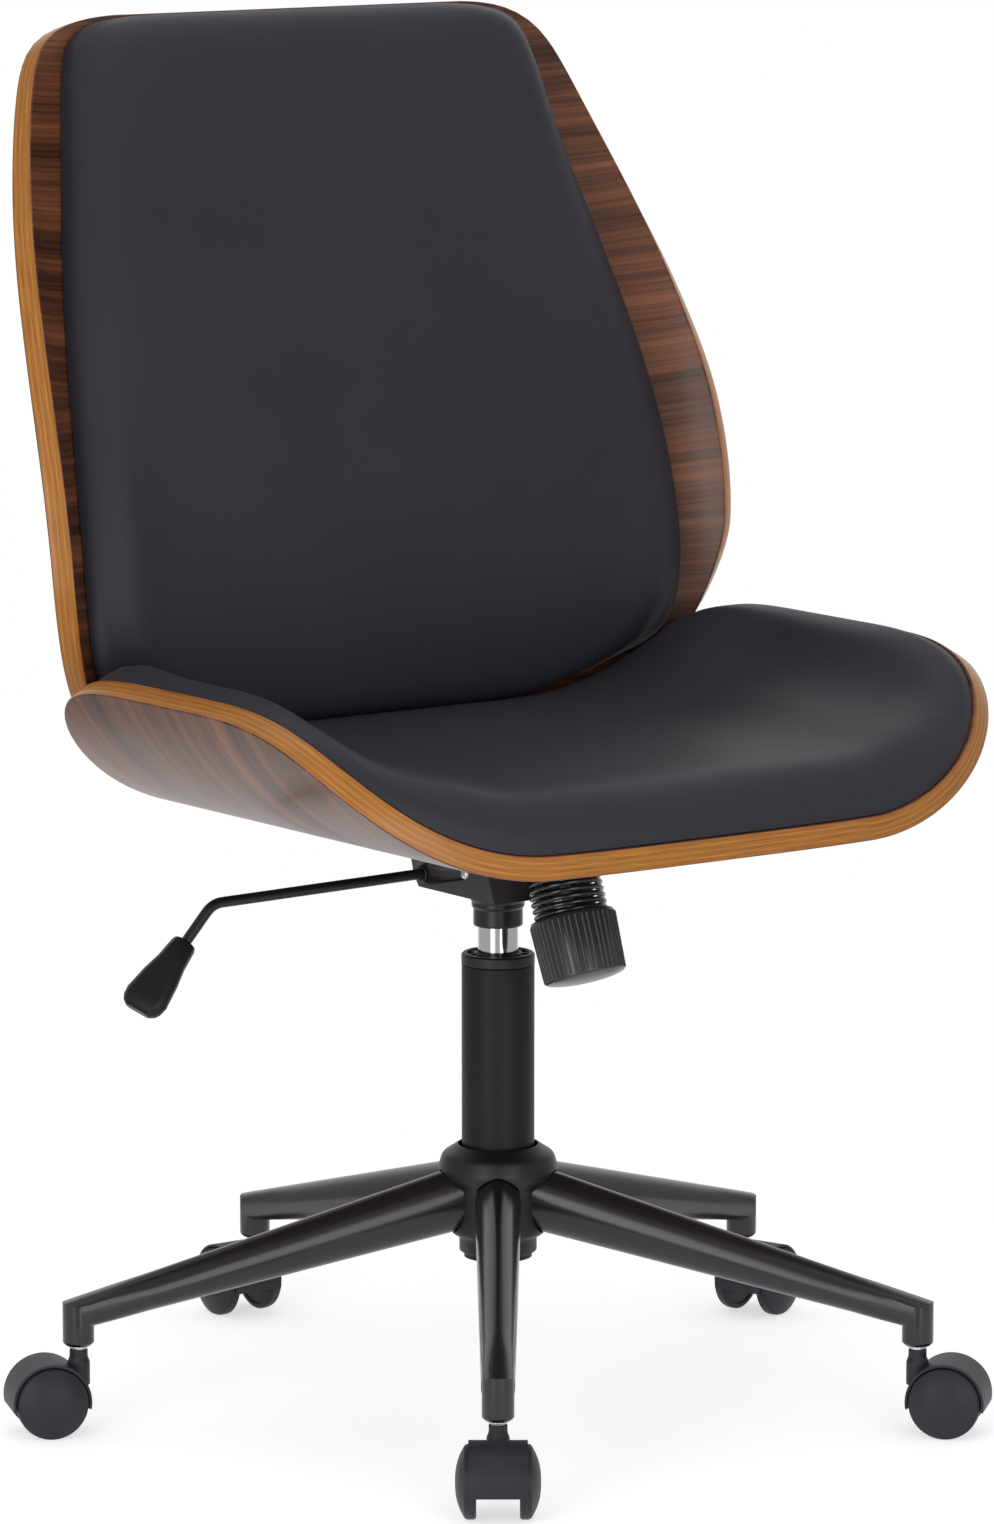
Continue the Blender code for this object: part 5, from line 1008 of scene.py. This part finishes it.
def back_lean(height):
    """The spine's lean from upright at a height along it."""
    up = max(height, 0.0)
    middle, top = lean_middle / lean_middle_at, lean_top / lean_top_at
    bend = (top - middle) / (lean_top_at - lean_middle_at)
    return up * (middle + bend * (up - lean_middle_at))


def spine_point(height):
    """How far forward and how high the spine is at a height along it."""
    forward, up = back_f, back_z
    for i in range(spine_steps):
        lean = back_lean((i + 0.5) * height / spine_steps)
        forward -= math.sin(lean) * height / spine_steps
        up += math.cos(lean) * height / spine_steps
    return forward, up


def back_point(spine, lean, span, off):
    """A point off the back's front face, by width measured round the sheet."""
    flat = min(abs(span), back_flat)
    bend = (abs(span) - flat) / back_bend_r
    across = flat + (back_bend_r - off) * math.sin(bend)
    ahead = back_bend_r * (1.0 - math.cos(bend)) + off * math.cos(bend)
    y = column_y - spine[0] - ahead * math.cos(lean)
    return math.copysign(across, span), y, spine[1] + ahead * math.sin(lean)


def top_corner(height, start, top, roundness):
    """Share of the full width where the top corners are rounded off."""
    share = min(max((height - start) / (top - start), 0.0), 1.0)
    return (1.0 - share**roundness) ** (1.0 / roundness)


def back_half(height):
    return through(back_widths, height) * top_corner(height, corner_from, back_top, corner_round)


def back_grid(heights, columns, half_at, off_at):
    """Points of the back's outline in rows up the spine, and their places on the sheet."""
    grid, places = [], []
    for height in heights:
        spine, lean, half = spine_point(height), back_lean(height), half_at(height)
        grid.append([back_point(spine, lean, share * half, off_at(share, half, height)) for share in columns])
        places.append([(share * half, height) for share in columns])
    return grid, places


def stretch(low, high, count, low_ends, high_ends):
    """Heights from low to high, spaced evenly but for those that lie close to either end."""
    first, last = low + low_ends[-1], high - high_ends[-1]
    made = [low] + [low + end for end in low_ends[:-1]]
    made += [first + (last - first) * i / count for i in range(count + 1)]
    return made + [high - end for end in reversed(high_ends[:-1])] + [high]


shell_top = corner_from + (back_top - corner_from) * corner_cut
near_tail = [0.00015, 0.0004, 0.0008, 0.0013, 0.004]
near_top = [0.00015, 0.0004, 0.0008, 0.0013, 0.002, 0.0035, 0.006, 0.010, 0.016]
heights = stretch(back_tail, shell_top, 70, near_tail, near_top)


def shell_drop(share, half, height):
    """How far the arris falls below the back's face."""
    return arris(min((1.0 - abs(share)) * half, shell_top - height, height - back_tail), arris_r)


back_front, back_places = back_grid(heights, fine, back_half, lambda *spot: -shell_drop(*spot))
back_rear, _ = back_grid(heights, fine, back_half, lambda *spot: shell_drop(*spot) - back_t)
backwards = Matrix.Rotation(math.radians(90.0), 4, "X")
back_holes = []
for name in back_screws:
    x, _, z = box_middle(name)
    front, rear = (-corner[1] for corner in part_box(name))
    place = Matrix.Translation((x, 0.0, z)) @ backwards
    back_holes.append(bore(bolt_r, front + hole_over, rear, place, hole_steps))
back_mesh = sheet_mesh("back_sheet", back_front, back_rear, back_places, walnut, honey_ply, back_t)
drilled("back_sheet", back_mesh, back_holes, "back_shell")


# Back pad: the same foam and black faux leather, fuller in the middle, glued on the back's front face.
# Its foot is cut to a curve that meets the seat pad.
back_pad_depth, back_crown = 0.035, 0.004
back_edge_side, back_edge_top, back_edge_foot = 0.046, 0.036, 0.006
pad_top, pad_foot = 0.4615, -0.0325
pad_corner_from, pad_corner_round = 0.37, 8.0
pad_widths = (
    (-0.0325, 0.105), (-0.0250, 0.152), (-0.0133, 0.194), (-0.0018, 0.2270), (0.0140, 0.2465),
    (0.05, 0.2560), (0.10, 0.2565), (0.16, 0.2510), (0.22, 0.2413), (0.29, 0.2260), (0.35, 0.2115),
    (0.42, 0.1970), (0.46, 0.1890),
)
pad_last = pad_corner_from + (pad_top - pad_corner_from) * corner_cut


def back_pad_half(height):
    return through(pad_widths, height) * top_corner(height, pad_corner_from, pad_top, pad_corner_round)


def back_pad_height(share, half, height):
    """The pad's height over the back's face, crowned in the middle and domed to its three edges."""
    along = (height - pad_foot) / (pad_last - pad_foot)
    depth = back_pad_depth + back_crown * (1.0 - share * share) * 4.0 * along * (1.0 - along) - pad_tuck
    depth *= dome((1.0 - abs(share)) * half, back_edge_side)
    depth *= dome(pad_last - height, back_edge_top) * dome(height - pad_foot, back_edge_foot)
    return pad_gap + pad_tuck + depth


foot_ends = [0.0001, 0.0003, 0.0007, 0.0013, 0.0021, 0.0031, 0.0045, 0.0062, 0.0085]
top_ends = [0.0001, 0.0003, 0.0008, 0.0015, 0.0025, 0.0038, 0.0055, 0.0075, 0.010, 0.013, 0.016, 0.020,
            0.024, 0.029]
pad_heights = stretch(pad_foot, pad_last, 66, foot_ends, top_ends)
back_pad_top, _ = back_grid(pad_heights, pad_columns, back_pad_half, back_pad_height)
back_pad_under, _ = back_grid(pad_heights, pad_columns, back_pad_half, lambda *spot: pad_gap)
back_pad = piece("back_pad", pad_mesh(back_pad_top, back_pad_under), upholstery, "seat", "black_upholstery",
                 "back_cushion", sharp=55.0)


# Studio: a round pale floor that keeps the chair's shadow, a white backdrop behind it in a grey room, and
# two tall soft lamps in front whose reflections run down the chrome and the arms. A third hangs above.
floor_r = 0.80
bm = bmesh.new()
bmesh.ops.create_circle(bm, cap_ends=True, segments=128, radius=floor_r)
floor_mesh = bpy.data.meshes.new("studio_floor")
bm.to_mesh(floor_mesh)
bm.free()
floor = placed("studio_floor", floor_mesh)


def white_rays(tree, *kinds):
    """One where a ray looks for the white background, for the given kinds of ray."""
    rays = node(tree, "LightPath").outputs
    found = rays[kinds[0]]
    for kind in kinds[1:]:
        found = maths(tree, "MAXIMUM", found, rays[kind])
    return found


fade_from, fade_to, floor_lift = 0.40, 0.76, 0.60
paper, tree, paper_shader = surface("studio_paper", Base_Color=(0.80, 0.80, 0.80, 1.0), Roughness=0.9,
                                    Specular_IOR_Level=0.1)
seen = white_rays(tree, "Is Camera Ray", "Is Glossy Ray", "Is Transmission Ray")
place = node(tree, "TexCoord").outputs["Object"]
away = maths(tree, "LENGTH", place, kind="VectorMath").outputs["Value"]
fade = node(tree, "MapRange", {"interpolation_type": "SMOOTHSTEP"}, Value=away, From_Min=fade_from,
            From_Max=fade_to)
far = maths(tree, "MULTIPLY", fade, seen)
lift = maths(tree, "MULTIPLY", seen, floor_lift)
lifted = node(tree, "AddShader", _0=paper_shader, _1=node(tree, "Emission", Strength=lift))
blended = node(tree, "MixShader", Fac=far, _1=lifted, _2=node(tree, "Emission"))
filled(tree, tree.nodes["Material Output"], Surface=blended)
floor_mesh.materials.append(paper)

room_level = 0.50
backdrop_edge, backdrop_full = math.radians(48.0), math.radians(34.0)
world = bpy.data.worlds.new("studio_surround")
bpy.context.scene.world = world
world.use_nodes = True
tree = world.node_tree
backdrop = Vector((math.sin(camera_turn), math.cos(camera_turn), 0.0))
place = node(tree, "TexCoord").outputs["Generated"]
towards = maths(tree, "DOT_PRODUCT", place, backdrop, kind="VectorMath").outputs["Value"]
behind = node(tree, "MapRange", Value=towards, From_Min=math.cos(backdrop_edge),
              From_Max=math.cos(backdrop_full))
mirrored_white = maths(tree, "MULTIPLY", behind, white_rays(tree, "Is Glossy Ray"))
either = maths(tree, "MAXIMUM", mirrored_white, white_rays(tree, "Is Camera Ray", "Is Transmission Ray"))
level = node(tree, "MapRange", Value=either, To_Min=room_level, To_Max=1.0)
filled(tree, tree.nodes["Background"], Color=(1.0, 1.0, 1.0, 1.0), Strength=level)


def soft_lamp(name, watts, width):
    """A soft area lamp that the camera doesn't see."""
    data = bpy.data.lights.new(name, "AREA")
    data.energy = watts
    data.size = width
    lamp = placed(name, data)
    lamp.visible_camera = False
    return lamp


lamp_reach, lamp_foot = 2.4, -0.30
uprights = (("left_softbox", 18.0, 0.93, -29.5, 1.40), ("right_softbox", 14.5, 1.14, 25.0, 1.25))
for name, watts, width, turn, top in uprights:
    lamp = soft_lamp(name, watts, width)
    lamp.data.shape = "RECTANGLE"
    lamp.data.size_y = top - lamp_foot
    heading = camera_turn - math.radians(turn)
    level = Vector((-math.sin(heading), -math.cos(heading), 0.0))
    lamp.location = level * lamp_reach + Vector((0.0, column_y, 0.5 * (lamp_foot + top)))
    lamp.rotation_euler = (-level).to_track_quat("-Z", "Y").to_euler()
soft_lamp("top_softbox", 7.0, 2.0).location = (0.0, column_y, 2.6)

bpy.context.scene.view_settings.view_transform = "Standard"
